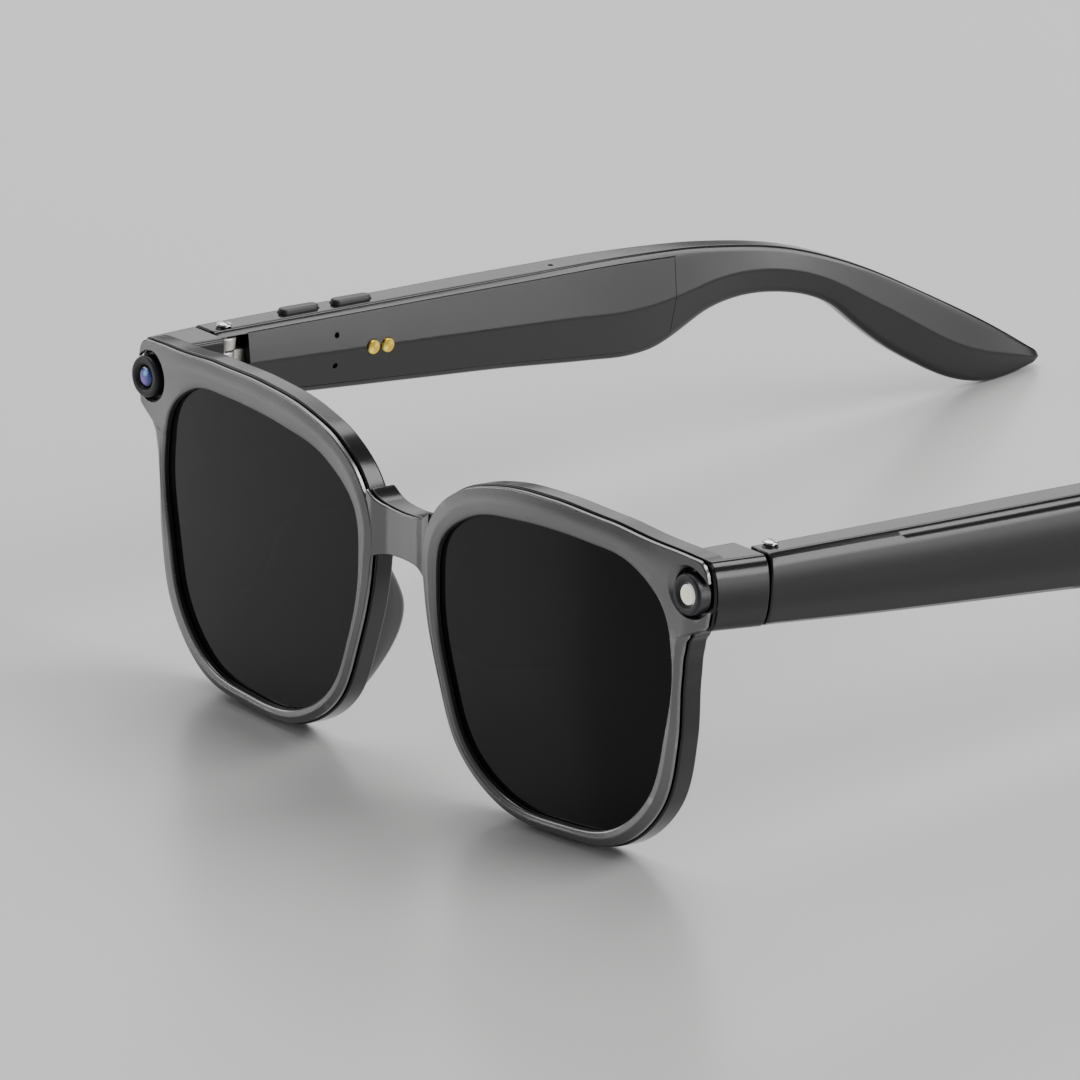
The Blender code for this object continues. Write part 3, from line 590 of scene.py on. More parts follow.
@dataclass(frozen=True)
class SmoothLine:
    """Smooth curve through (place, value) points, eased over a few samples."""

    points: tuple[Pair, ...]

    def at(self, places: np.ndarray | float) -> np.ndarray:
        """Values at places along the curve.

        Args:
            places: Places along the curve.

        Returns:
            Value at each place.
        """
        x = np.array([point[0] for point in self.points])
        y = np.array([point[1] for point in self.points])
        slope = np.gradient(y, x)
        wanted = np.clip(np.atleast_1d(np.asarray(places, float)), x[0], x[-1])
        index = np.clip(np.searchsorted(x, wanted) - 1, 0, len(x) - 2)
        span = x[index + 1] - x[index]
        t = (wanted - x[index]) / span
        rise = (1 + 2 * t) * (1 - t) ** 2 * y[index] + t * (1 - t) ** 2 * span * slope[index]
        fall = t * t * (3 - 2 * t) * y[index + 1] + t * t * (t - 1) * span * slope[index + 1]
        return rise + fall

    def eased(self, places: np.ndarray, width: float) -> np.ndarray:
        """Values averaged over a bell of a width, which hides the joins between the points.

        Args:
            places: Places along the curve.
            width: Width of the bell in mm.

        Returns:
            Averaged value at each place.
        """
        total = np.zeros(len(places))
        weight = 0.0
        for step in np.linspace(-2.0, 2.0, 9):
            share = math.exp(-step * step / 2)
            total += share * self.at(places + step * width)
            weight += share
        return total / weight


def blurred_ring(values: np.ndarray, width: float) -> np.ndarray:
    """Average a closed row of values over a bell a few samples wide.

    Args:
        values: Closed row of values.
        width: Width of the bell in samples.

    Returns:
        The averaged row.
    """
    total = np.zeros(len(values))
    weight = 0.0
    for step in range(-6, 7):
        share = math.exp(-0.5 * (step / width) ** 2)
        total += share * np.roll(values, step)
        weight += share
    return total / weight


def filleted(corners: Sequence[tuple[float, float, float]], steps: int = 5) -> list[Pair]:
    """Round the corners of a closed outline.

    Args:
        corners: (a, b, radius) for each corner; radius 0 keeps the point.
        steps: Points along each round.

    Returns:
        The rounded outline, with the same number of points whatever the radii.
    """
    outline: list[Pair] = []
    count = len(corners)
    for index, (a, b, radius) in enumerate(corners):
        if radius <= 0.0:
            outline.append((a, b))
            continue
        here = Vector((a, b))
        before = Vector(corners[index - 1][:2]) - here
        after = Vector(corners[(index + 1) % count][:2]) - here
        reach = min(radius, before.length * 0.45, after.length * 0.45)
        start = here + before.normalized() * reach
        end = here + after.normalized() * reach
        for step in range(steps):
            t = step / (steps - 1)
            point = start * (1 - t) ** 2 + here * 2 * t * (1 - t) + end * t * t
            outline.append((point.x, point.y))
    return outline


# ---------------------------------------------------------------- solids

Ring = Sequence[Sequence[float]]


@dataclass
class Workshop:
    """Makes solids in the wearing frame and hands them over in the row frame."""

    wearing: WearingFrame

    def loft(self, name: str, rings: Sequence[Ring], closed: bool = False) -> bpy.types.Object:
        """Skin equal rings into a closed solid.

        Args:
            name: Object name.
            rings: Rings of points in mm, each with the same number of points.
            closed: Whether the last ring joins the first; otherwise both ends are capped.

        Returns:
            The solid, linked to the scene.
        """
        mesh = bmesh.new()
        rows = [[mesh.verts.new(self.wearing.place(point)) for point in ring] for ring in rings]
        count = len(rows[0])
        pairs = list(zip(rows, rows[1:])) + ([(rows[-1], rows[0])] if closed else [])
        for first, second in pairs:
            for index in range(count):
                following = (index + 1) % count
                corners = (first[index], first[following], second[following], second[index])
                mesh.faces.new(corners)
        if not closed:
            mesh.faces.new(rows[0])
            mesh.faces.new(rows[-1])
        return self.finished(name, mesh)

    def turned(self, name: str, centre: Pair, axis: Axis, profile: Sequence[Pair],
               steps: int = 72, closed: bool = True) -> bpy.types.Object:
        """Turn a (place, radius) profile about an axis."""
        rings = [self.circle(centre, axis, place, radius, steps) for place, radius in profile]
        return self.loft(name, rings, closed)

    @staticmethod
    def circle(centre: Pair, axis: Axis, place: float, radius: float, steps: int) -> list[Point]:
        """Circle of points about an axis.

        Args:
            centre: Place of the axis or of the middle.
            axis: Axis the circle stands on.
            place: Place along that axis.
            radius: Radius in mm.
            steps: Number of steps.

        Returns:
            Points of the circle.
        """
        ring = []
        for step in range(steps):
            angle = math.tau * step / steps
            around = [centre[0] + radius * math.cos(angle), centre[1] + radius * math.sin(angle)]
            around.insert(axis.value, place)
            ring.append(tuple(around))
        return ring

    def prism(self, name: str, outline: Sequence[Pair], low: float, high: float) -> bpy.types.Object:
        """Extrude a plan outline between two heights."""
        return self.loft(name, [[(x, y, z) for x, y in outline] for z in (low, high)])

    def block(self, name: str, low: Point, high: Point) -> bpy.types.Object:
        """Plain cutting block between two corners."""
        xs, ys, zs = (sorted(pair) for pair in zip(low, high))
        outline = [(xs[0], ys[0]), (xs[1], ys[0]), (xs[1], ys[1]), (xs[0], ys[1])]
        return self.prism(name, outline, zs[0], zs[1])

    def rounded_bar(self, name: str, outline: Sequence[Pair], low: float, high: float,
                    radius: float, steps: int = 5) -> bpy.types.Object:
        """Extruded outline whose upper edge is rounded inwards.

        Args:
            name: Object name.
            outline: Plan outline in mm.
            low: Lower height.
            high: Upper height.
            radius: Radius of the upper edge.
            steps: Number of steps.

        Returns:
            The bar.
        """
        rings = [[(x, y, low) for x, y in outline], [(x, y, high - radius) for x, y in outline]]
        for step in range(1, steps + 1):
            angle = math.pi / 2 * step / steps
            inset = radius * (1 - math.cos(angle))
            z = high - radius + radius * math.sin(angle)
            rings.append([(x, y, z) for x, y in shrunk(outline, inset)])
        return self.loft(name, rings)

    @staticmethod
    def finished(name: str, mesh: bmesh.types.BMesh) -> bpy.types.Object:
        """Turn a working mesh into a smooth-shaded object with outward faces.

        Args:
            name: Object name.
            mesh: Working mesh; it is freed.

        Returns:
            The object, linked to the scene.
        """
        bmesh.ops.recalc_face_normals(mesh, faces=mesh.faces)
        data = bpy.data.meshes.new(name)
        mesh.to_mesh(data)
        mesh.free()
        made = bpy.data.objects.new(name, data)
        bpy.context.scene.collection.objects.link(made)
        shade(made)
        return made

    def join(self, target: bpy.types.Object, tools: Iterable[bpy.types.Object], join: Join,
             solver: str = "EXACT") -> bpy.types.Object:
        """Boolean tools into a target, bake the result and delete the tools.

        Args:
            target: Object to change.
            tools: Solids to add or take away; they are deleted.
            join: Which boolean.
            solver: Boolean solver.

        Returns:
            The target.
        """
        tools = list(tools)
        for tool in tools:
            modifier = target.modifiers.new(tool.name, "BOOLEAN")
            modifier.operation = join.value
            modifier.solver = solver
            modifier.object = tool
        bake(target)
        shade(target)
        for tool in tools:
            remove(tool)
        return target


def shrunk(outline: Sequence[Pair], inset: float) -> list[Pair]:
    """Move every point of a convex outline inwards along its normal.

    Args:
        outline: Convex outline.
        inset: Inward offset in mm.

    Returns:
        The moved outline.
    """
    count = len(outline)
    moved = []
    for index, (x, y) in enumerate(outline):
        before, after = outline[index - 1], outline[(index + 1) % count]
        along = Vector((after[0] - before[0], after[1] - before[1])).normalized()
        moved.append((x - along.y * inset, y + along.x * inset))
    return moved


def bake(target: bpy.types.Object) -> None:
    """Replace an object's mesh with its evaluated mesh and drop its modifiers.

    Args:
        target: Object to change.
    """
    bpy.context.view_layer.update()
    evaluated = target.evaluated_get(bpy.context.evaluated_depsgraph_get())
    result = bpy.data.meshes.new_from_object(evaluated)
    target.modifiers.clear()
    old = target.data
    target.data = result
    result.name = target.name
    bpy.data.meshes.remove(old)


def shade(target: bpy.types.Object, angle: float = SMOOTH_ANGLE) -> None:
    """Shade smooth, with sharp edges past an angle."""
    target.data.shade_smooth()
    target.data.set_sharp_from_angle(angle=angle)


def remove(target: bpy.types.Object) -> None:
    """Delete an object and its mesh."""
    data = target.data
    bpy.data.objects.remove(target)
    bpy.data.meshes.remove(data)


def weighted(target: bpy.types.Object) -> None:
    """Let large faces lead the shading where a cut leaves long faces."""
    modifier = target.modifiers.new("weighted_normal", "WEIGHTED_NORMAL")
    modifier.keep_sharp = True
    modifier.weight = 60
    bake(target)


def settle(piece: bpy.types.Object, finish: Finish, body: str, nodes: Sequence[str] = ()) -> None:
    """Dress a finished piece, hang it on its body and hide the CAD nodes it stands for.

    Args:
        piece: Finished mesh in the row frame.
        finish: Its finish.
        body: CAD body that carries it.
        nodes: CAD nodes that it replaces.
    """
    piece.data.materials.clear()
    piece.data.materials.append(finish.material())
    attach(piece, body)
    if nodes:
        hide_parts(*nodes)
    LOG.info("%s: %d faces on %s", piece.name, len(piece.data.polygons), body)


# ---------------------------------------------------------------- geometry nodes

class NodeShop:
    """Builds geometry node trees and bakes them onto pieces."""

    def __init__(self, name: str, inputs: Sequence[tuple[str, str, Any]]) -> None:
        """Start a tree with named inputs.

        Args:
            name: Name of the tree.
            inputs: (name, socket type, default) for each size.
        """
        self.tree = bpy.data.node_groups.new(name, "GeometryNodeTree")
        face = self.tree.interface
        face.new_socket("Geometry", in_out="INPUT", socket_type="NodeSocketGeometry")
        self.defaults = {}
        for label, kind, default in inputs:
            face.new_socket(label, in_out="INPUT", socket_type=kind)
            self.defaults[label] = default
        face.new_socket("Geometry", in_out="OUTPUT", socket_type="NodeSocketGeometry")
        self.source = self.tree.nodes.new("NodeGroupInput")

    def node(self, kind: str, settings: dict[str, Any] | None = None,
             sockets: dict[Any, Value] | None = None) -> bpy.types.Node:
        """Add a node with settings and socket values; a socket value is linked.

        Args:
            kind: Type name of the node.
            settings: Properties set first.
            sockets: Input values or sockets to link.

        Returns:
            The node.
        """
        made = self.tree.nodes.new(kind)
        for key, setting in (settings or {}).items():
            setattr(made, key, setting)
        for key, value in (sockets or {}).items():
            if isinstance(value, bpy.types.NodeSocket):
                self.tree.links.new(value, made.inputs[key])
            else:
                made.inputs[key].default_value = value
        return made

    def given(self, label: str) -> bpy.types.NodeSocket:
        """Socket of a named input."""
        return self.source.outputs[label]

    def close(self, geometry: bpy.types.NodeSocket) -> None:
        """End the tree in Realize Instances and Set Material.

        Args:
            geometry: Last geometry socket.
        """
        real = self.node("GeometryNodeRealizeInstances", None, {"Geometry": geometry})
        painted = self.node("GeometryNodeSetMaterial", None,
                            {"Geometry": real.outputs[0], "Material": self.given("Material")})
        end = self.tree.nodes.new("NodeGroupOutput")
        self.tree.links.new(painted.outputs[0], end.inputs[0])

    def run(self, piece: bpy.types.Object, **values: Any) -> bpy.types.Object:
        """Put the tree on a piece, set its inputs by identifier and bake the result.

        Args:
            piece: Piece that is rebuilt.

        Returns:
            The same piece, baked.
        """
        modifier = piece.modifiers.new(self.tree.name, "NODES")
        modifier.node_group = self.tree
        merged = {**self.defaults, **values}
        for item in self.tree.interface.items_tree:
            if item.in_out == "INPUT" and item.name in merged:
                modifier[item.identifier] = merged[item.name]
        bake(piece)
        shade(piece)
        return piece


def row_tree() -> NodeShop:
    """Tree that repeats a piece along a straight row, each copy scaled from the last."""
    shop = NodeShop("row_of_pieces", (("Count", "NodeSocketInt", 2),
                                      ("Start", "NodeSocketVector", (0, 0, 0)),
                                      ("Step", "NodeSocketVector", (0, 0, 0)),
                                      ("Shrink", "NodeSocketFloat", 0.0),
                                      ("Material", "NodeSocketMaterial", None)))
    line = shop.node("GeometryNodeMeshLine", {"mode": "OFFSET"},
                     {"Count": shop.given("Count"), "Start Location": shop.given("Start"),
                      "Offset": shop.given("Step")})
    index = shop.node("GeometryNodeInputIndex")
    shrink = shop.node("ShaderNodeMath", {"operation": "MULTIPLY"},
                       {0: index.outputs[0], 1: shop.given("Shrink")})
    scale = shop.node("ShaderNodeMath", {"operation": "SUBTRACT"}, {0: 1.0, 1: shrink.outputs[0]})
    copies = shop.node("GeometryNodeInstanceOnPoints", None,
                       {"Points": line.outputs[0], "Instance": shop.given("Geometry"),
                        "Scale": scale.outputs[0]})
    shop.close(copies.outputs[0])
    return shop


def bead_tree() -> NodeShop:
    """Tree that sweeps a round bead along the edges of a closed loop."""
    shop = NodeShop("bead_along_loop", (("Radius", "NodeSocketFloat", 0.0003),
                                        ("Resolution", "NodeSocketInt", 10),
                                        ("Material", "NodeSocketMaterial", None)))
    path = shop.node("GeometryNodeMeshToCurve", None, {"Mesh": shop.given("Geometry")})
    profile = shop.node("GeometryNodeCurvePrimitiveCircle", None,
                        {"Resolution": shop.given("Resolution"), "Radius": shop.given("Radius")})
    bead = shop.node("GeometryNodeCurveToMesh", None,
                     {"Curve": path.outputs[0], "Profile Curve": profile.outputs[0]})
    shop.close(bead.outputs[0])
    return shop


# ---------------------------------------------------------------- front

@dataclass(frozen=True)
class FrontShape:
    """Curved surface, rim outline and lens opening that every front piece shares."""

    radius: float = 500.0
    panto: float = math.radians(3.5)
    eye: Pair = (34.0, -24.0)
    samples: int = 384
    opening: tuple[Pair, ...] = (
        (58.8, -16.5), (57.0, -9.2), (51.2, -4.6), (41.7, -3.3), (27.0, -3.8), (16.2, -6.2),
        (10.1, -11.2), (9.0, -19.5), (11.6, -32.0), (15.8, -40.8), (23.7, -46.0), (36.3, -47.1),
        (47.6, -45.0), (54.2, -38.8), (57.4, -28.6))
    rim: tuple[Pair, ...] = (
        (57.0, 0.0), (62.6, -0.35), (64.6, -0.6), (65.5, -1.5), (66.0, -3.4), (66.2, -5.6),
        (66.0, -7.8), (65.5, -9.7), (64.7, -10.8), (63.2, -11.6), (61.9, -12.8), (61.0, -15.0),
        (60.4, -19.0), (59.7, -28.8), (56.6, -39.8), (49.2, -46.9), (36.4, -49.1), (22.9, -47.9),
        (14.2, -42.0), (9.5, -32.0), (6.4, -20.0), (6.2, -12.0), (9.0, -6.6), (14.2, -2.5),
        (22.0, 0.1), (34.0, 1.2), (46.0, 0.9))

    def depth(self, x: float, z: float) -> float:
        """Depth of the front surface at a place across the face."""
        return x * x / (2 * self.radius) - z * math.tan(self.panto)

    def _radii(self, outline: tuple[Pair, ...], angles: np.ndarray) -> np.ndarray:
        """Radius of an outline round the eye at each angle.

        Args:
            outline: Closed outline in mm.
            angles: Angles round the eye.

        Returns:
            Radius at each angle.
        """
        polar = sorted((math.atan2(z - self.eye[1], x - self.eye[0]) % math.tau,
                        math.hypot(x - self.eye[0], z - self.eye[1])) for x, z in outline)
        before = [(angle - math.tau, radius) for angle, radius in polar[-3:]]
        after = [(angle + math.tau, radius) for angle, radius in polar[:3]]
        return SmoothLine(tuple(before + polar + after)).at(angles)

    def angles(self) -> np.ndarray:
        """Angles that space the rim's points evenly along its outline."""
        fine = np.linspace(0.0, math.tau, 2880, endpoint=False)
        radii = self._radii(self.rim, fine)
        x, z = radii * np.cos(fine), radii * np.sin(fine)
        steps = np.hypot(np.diff(x, append=x[0]), np.diff(z, append=z[0]))
        reach = np.concatenate([[0.0], np.cumsum(steps)])
        wanted = np.linspace(0.0, reach[-1], self.samples, endpoint=False)
        return np.interp(wanted, reach, np.append(fine, math.tau))

    def ring(self, side: Side, share: float, grow: float, depth: float) -> list[Point]:
        """Loop round an eye.

        Args:
            side: Which eye.
            share: 0 on the lens opening, 1 on the rim's outline, between them across the rim.
            grow: Outward offset in mm.
            depth: Depth behind the front surface in mm.

        Returns:
            Points of the loop in mm.
        """
        angles = self.angles()
        inner = blurred_ring(self._radii(self.opening, angles), 2.0)
        outer = blurred_ring(self._radii(self.rim, angles), 0.9)
        radii = inner * (1 - share) + outer * share + grow
        points = []
        for angle, radius in zip(angles, radii):
            x = self.eye[0] + radius * math.cos(angle)
            z = self.eye[1] + radius * math.sin(angle)
            points.append((side.value * x, self.depth(x, z) + depth, z))
        return points


@dataclass
class FrontPlate:
    """Front plate: two crowned rims and the recessed bridge, with seats for camera and light."""

    shop: Workshop
    shape: FrontShape
    depth: float = 1.0
    crown: float = 0.30
    edge: float = 0.26
    bridge_half: float = 7.2
    bridge_sheet: float = 0.55
    bridge_top: SmoothLine = SmoothLine(((0.0, -9.9), (2.0, -9.8), (3.6, -9.6), (4.8, -9.3),
                                         (6.0, -8.7), (7.2, -7.9)))
    bridge_bottom: SmoothLine = SmoothLine(((0.0, -16.7), (2.0, -16.8), (3.6, -17.0), (4.8, -17.3),
                                            (6.0, -17.8), (7.2, -18.5)))
    bridge_face: SmoothLine = SmoothLine(((0.0, 1.25), (2.0, 1.2), (3.6, 1.1), (4.8, 0.75),
                                          (6.0, 0.4), (7.2, 0.4)))
    seat_radius: float = 3.8
    seat_depth: float = 1.6
    seat_bevel: float = 0.2
    module: Pair = (62.9, -5.7)

    def profile(self) -> list[tuple[float, float, float]]:
        """Section across the rim as (share, grow, depth)."""
        section = [(0.0, 0.0, self.depth), (0.0, 0.0, 0.52), (0.0, 0.07, 0.34), (0.0, 0.20, 0.20),
                   (0.0, 0.42, 0.12)]
        for share in (0.2, 0.35, 0.5, 0.65, 0.8):
            lift = 1 - (2 * share - 1) ** 2
            section.append((share, 0.45 * (1 - 2 * share), self.crown * (1 - lift)))
        for step in range(6):
            angle = math.pi / 2 * step / 5
            section.append((1.0, -self.edge * (1 - math.sin(angle)),
                            self.crown * 0.8 + self.edge * (1 - math.cos(angle))))
        return section + [(1.0, 0.0, self.depth - 0.12), (1.0, -0.12, self.depth)]

    def rim(self, side: Side) -> bpy.types.Object:
        """One rim."""
        rings = [self.shape.ring(side, *point) for point in self.profile()]
        return self.shop.loft("rim_" + side.tag, rings, closed=True)

    def bridge(self, name: str, offset: float, back: float | None, soft: float) -> bpy.types.Object:
        """Bar between the rims, its face stepped back behind theirs.

        Args:
            name: Object name.
            offset: Depth of its face behind the face of the bridge.
            back: Depth of its back, or None for a thin sheet that follows the face.
            soft: Radius of the rounded edges in mm.

        Returns:
            The bar.
        """
        places = np.linspace(-self.bridge_half, self.bridge_half, 65)
        lines = (self.bridge_top, self.bridge_bottom, self.bridge_face)
        tops, lows, faces = (line.eased(np.abs(places), 0.22) for line in lines)
        rings = []
        for x, top, low, face in zip(places, tops, lows, faces):
            front = face + offset
            rear = front + self.bridge_sheet if back is None else back
            outline = ((front, low, soft), (rear, low, soft), (rear, top, soft), (front, top, soft))
            rings.append([(x, self.shape.depth(x, z) + depth, z) for depth, z in filleted(outline, 5)])
        return self.shop.loft(name, rings)

    def seat_cutter(self, side: Side) -> bpy.types.Object:
        """Cutter of a module's round recess, with a fine bevel at its mouth.

        Args:
            side: Side of the head.

        Returns:
            The cutter.
        """
        front = self.shape.depth(*self.module)
        centre = (side.value * self.module[0], self.module[1])
        floor, radius = front + self.seat_depth, self.seat_radius
        profile = ((front - 3.0, radius + 3.0 + self.seat_bevel), (front + self.seat_bevel, radius),
                   (floor - 0.15, radius), (floor, radius - 0.15))
        return self.shop.turned("seat", centre, Axis.BACKWARD, profile, 96, closed=False)

    def build(self) -> bpy.types.Object:
        """Join rims and bridge, then cut the seats."""
        plate = self.rim(Side.LEFT)
        bar = self.bridge("bar", 0.0, None, 0.22)
        self.shop.join(plate, (self.rim(Side.RIGHT), bar), Join.ADD)
        self.shop.join(plate, [self.seat_cutter(side) for side in Side], Join.CUT)
        plate.name = "front_plate"
        weighted(plate)
        return plate

    def dress(self, piece: bpy.types.Object) -> None:
        """Give the plate its satin finish."""
        settle(piece, PLATE_PLASTIC, "front", ["front_frame"])


@dataclass
class BackCover:
    """Rear half of the frame: rims, bridge, end pieces and nose pads in one moulding."""

    shop: Workshop
    shape: FrontShape
    plate: FrontPlate
    front: float = 1.3
    rim_depth: float = 4.7
    lip: float = 3.2
    pocket: float = 1.1
    bulge: float = 0.30
    bridge_back: float = 5.8
    bridge_gap: float = 0.95
    end_inner: float = 58.8
    end_outer: Pair = (66.7, 67.7)
    end_top: float = -0.45
    end_bottom: Pair = (-11.1, -11.3)
    end_crown: float = 2.0
    end_seat: float = 0.3
    end_back: float = 15.2
    bore_radius: float = 2.5
    pocket_radius: float = 3.2
    pocket_wall: float = 1.4
    pocket_end: float = 10.0
    slot_half: float = 1.9
    slot_heights: Pair = (-9.9, -1.4)
    pad_root: SmoothLine = SmoothLine(((-45.6, 18.8), (-44.0, 16.6), (-41.3, 14.3), (-37.5, 12.3),
                                       (-34.1, 10.9), (-30.6, 9.6), (-27.6, 8.7), (-23.7, 7.6),
                                       (-21.0, 7.1), (-19.2, 6.9)))
    pad_crest: SmoothLine = SmoothLine(((-45.6, 19.4), (-44.0, 17.3), (-41.3, 15.2), (-37.5, 13.5),
                                        (-34.1, 12.4), (-30.6, 11.3), (-27.6, 10.3), (-23.7, 8.7),
                                        (-21.0, 7.9), (-19.2, 7.6)))
    pad_reach: SmoothLine = SmoothLine(((-45.6, 7.9), (-44.0, 8.4), (-41.3, 9.6), (-37.5, 11.4),
                                        (-34.1, 12.7), (-30.6, 13.1), (-27.6, 12.4), (-23.7, 9.7),
                                        (-21.0, 7.6), (-19.2, 6.3)))
    pad_span: Pair = (-45.6, -19.2)
    pad_depth: float = 3.4
    pad_root_width: float = 1.6
    pad_thickness: float = 2.0

    def profile(self) -> list[tuple[float, float, float]]:
        """Section across the rear rim, bulging a little past the plate."""
        pocket = self.pocket
        section = [(0.0, pocket, self.front), (0.0, pocket, self.lip), (0.0, 0.0, self.lip),
                   (0.0, 0.0, self.rim_depth - 0.5), (0.0, 0.12, self.rim_depth - 0.2),
                   (0.0, 0.45, self.rim_depth)]
        section += [(share, 0.4 * (1 - 2 * share), self.rim_depth) for share in (0.3, 0.5, 0.7)]
        for step in range(6):
            angle = math.pi / 2 * step / 5
            reach = 0.55
            section.append((1.0, self.bulge - reach * (1 - math.sin(angle)),
                            self.rim_depth - reach * (1 - math.cos(angle))))
        for step in range(6):
            angle = math.pi / 2 * step / 5
            reach = 0.30
            section.append((1.0, self.bulge - reach * (1 - math.cos(angle)),
                            self.front + reach * (1 - math.sin(angle))))
        return section

    def end_piece(self, side: Side) -> bpy.types.Object:
        """Hinge block behind an ear, tapering forwards, with a rounded back edge."""
        plan = ((0.0, 0.0), (0.5, 0.0), (0.962, 0.0), (0.982, 0.06), (0.994, 0.16), (1.0, 0.32))
        return self.shop.loft("end_piece", [self.end_ring(side, *place) for place in plan])

    def end_ring(self, side: Side, share: float, inset: float) -> list[Point]:
        """Section of an end piece, from its seat on the rim (0) to the butt (1).

        Args:
            side: Side of the head.
            share: 0 at the rim, 1 at the butt.
            inset: Inward offset in mm.

        Returns:
            Points of the section.
        """
        inner = self.end_inner + inset
        outer = self.end_outer[0] + (self.end_outer[1] - self.end_outer[0]) * share - inset
        bottom = self.end_bottom[0] + (self.end_bottom[1] - self.end_bottom[0]) * share + inset
        top = self.end_top - inset
        middle, half, crown = (top + bottom) / 2, (top - bottom) / 2, self.end_crown
        corners = [(inner, bottom, 0.8), (outer - crown, bottom, 0.0)]
        for step in range(1, 20):
            angle = -math.pi / 2 + math.pi * step / 20
            corners.append((outer - crown + crown * math.cos(angle) ** 0.8,
                            middle + half * math.sin(angle), 0.0))
        corners += [(outer - crown, top, 0.0), (inner, top, 0.8)]
        ring = []
        for x, z in filleted(corners, 6):
            seat = self.shape.depth(x, z) + self.front + self.end_seat
            ring.append((side.value * x, seat + (self.end_back - seat) * share, z))
        return ring

    def nose_pad(self, side: Side) -> bpy.types.Object:
        """Smooth pad that grows from the rim and leans towards the nose.

        Args:
            side: Side of the head.

        Returns:
            The pad.
        """
        heights = np.linspace(*self.pad_span, 56)
        lines = (self.pad_root, self.pad_crest, self.pad_reach)
        roots, crests, reaches = (line.eased(heights, 0.7) for line in lines)
        rings = []
        for z, root, crest, reach in zip(heights, roots, crests, reaches):
            rings.append(self.pad_ring(z, root, crest, reach, 1.0))
        for size, step in ((0.96, 0.10), (0.84, 0.20), (0.62, 0.28)):
            rings.insert(0, self.pad_ring(heights[0] - step, roots[0], crests[0], reaches[0], size))
            rings.append(self.pad_ring(heights[-1] + step, roots[-1], crests[-1], reaches[-1], size))
        return self.shop.loft("nose_pad", [[(side.value * x, y, z) for x, y, z in ring] for ring in rings])

    def pad_ring(self, z: float, root: float, crest: float, reach: float, size: float) -> list[Point]:
        """Section of a nose pad at a height, shrunk about its middle.

        Args:
            z: Height in mm.
            root: Sideways place of the root.
            crest: Sideways place of the crest.
            reach: Depth of the crest.
            size: Share of full size.

        Returns:
            Points of the section.
        """
        base = self.shape.depth(root, z) + self.pad_depth
        mid_x, mid_y = (root + crest) / 2, (base + reach) / 2
        outline = ((root, base, 0.0), (mid_x - 0.1, mid_y, 2.0), (crest, reach - 0.8, 1.2),
                   (crest + 0.7, reach, 1.2), (crest + self.pad_thickness, reach - 0.6, 1.2),
                   (mid_x + 1.9, mid_y, 2.0), (root + self.pad_root_width, base, 0.0))
        middle = (mid_x + 0.9, mid_y)
        return [(middle[0] + (x - middle[0]) * size, middle[1] + (y - middle[1]) * size, z)
                for x, y in filleted(outline, 7)]

    def cutters(self, side: Side) -> list[bpy.types.Object]:
        """Recess, bore, module pocket and hinge slot of one end piece.

        Args:
            side: Side of the head.

        Returns:
            The cutters.
        """
        module = self.plate.module
        centre = (side.value * module[0], module[1])
        floor = self.shape.depth(*module) + self.plate.seat_depth
        bore = self.shop.turned("bore", centre, Axis.BACKWARD,
                                ((floor - 2.0, self.bore_radius), (floor + 3.0, self.bore_radius)),
                                64, closed=False)
        pocket = self.shop.turned("pocket", centre, Axis.BACKWARD,
                                  ((floor + self.pocket_wall, self.pocket_radius),
                                   (self.pocket_end, self.pocket_radius)), 48, closed=False)
        hinge = Temple.hinge_x
        slot = self.shop.block("slot", (side.value * (hinge - self.slot_half), self.pocket_end - 1.0,
                                        self.slot_heights[0]),
                               (side.value * (hinge + self.slot_half), self.end_back + 2.0,
                                self.slot_heights[1]))
        return [self.plate.seat_cutter(side), bore, pocket, slot]

    def build(self) -> bpy.types.Object:
        """Join every part of the moulding and hollow the end pieces."""
        cover = self.shop.loft("rear_rim_left", [self.shape.ring(Side.LEFT, *p) for p in self.profile()],
                               closed=True)
        other = self.shop.loft("rear_rim_right", [self.shape.ring(Side.RIGHT, *p) for p in self.profile()],
                               closed=True)
        bar = self.plate.bridge("rear_bar", self.bridge_gap, self.bridge_back, 0.4)
        parts = [other, bar]
        for side in Side:
            parts += [self.end_piece(side), self.nose_pad(side)]
        self.shop.join(cover, parts, Join.ADD)
        self.shop.join(cover, self.cutters(Side.LEFT) + self.cutters(Side.RIGHT), Join.CUT)
        cover.name = "back_cover"
        weighted(cover)
        return cover

    def dress(self, piece: bpy.types.Object) -> None:
        """Give the cover its gloss."""
        settle(piece, COVER_PLASTIC, "front", ["frame_back_cover"])


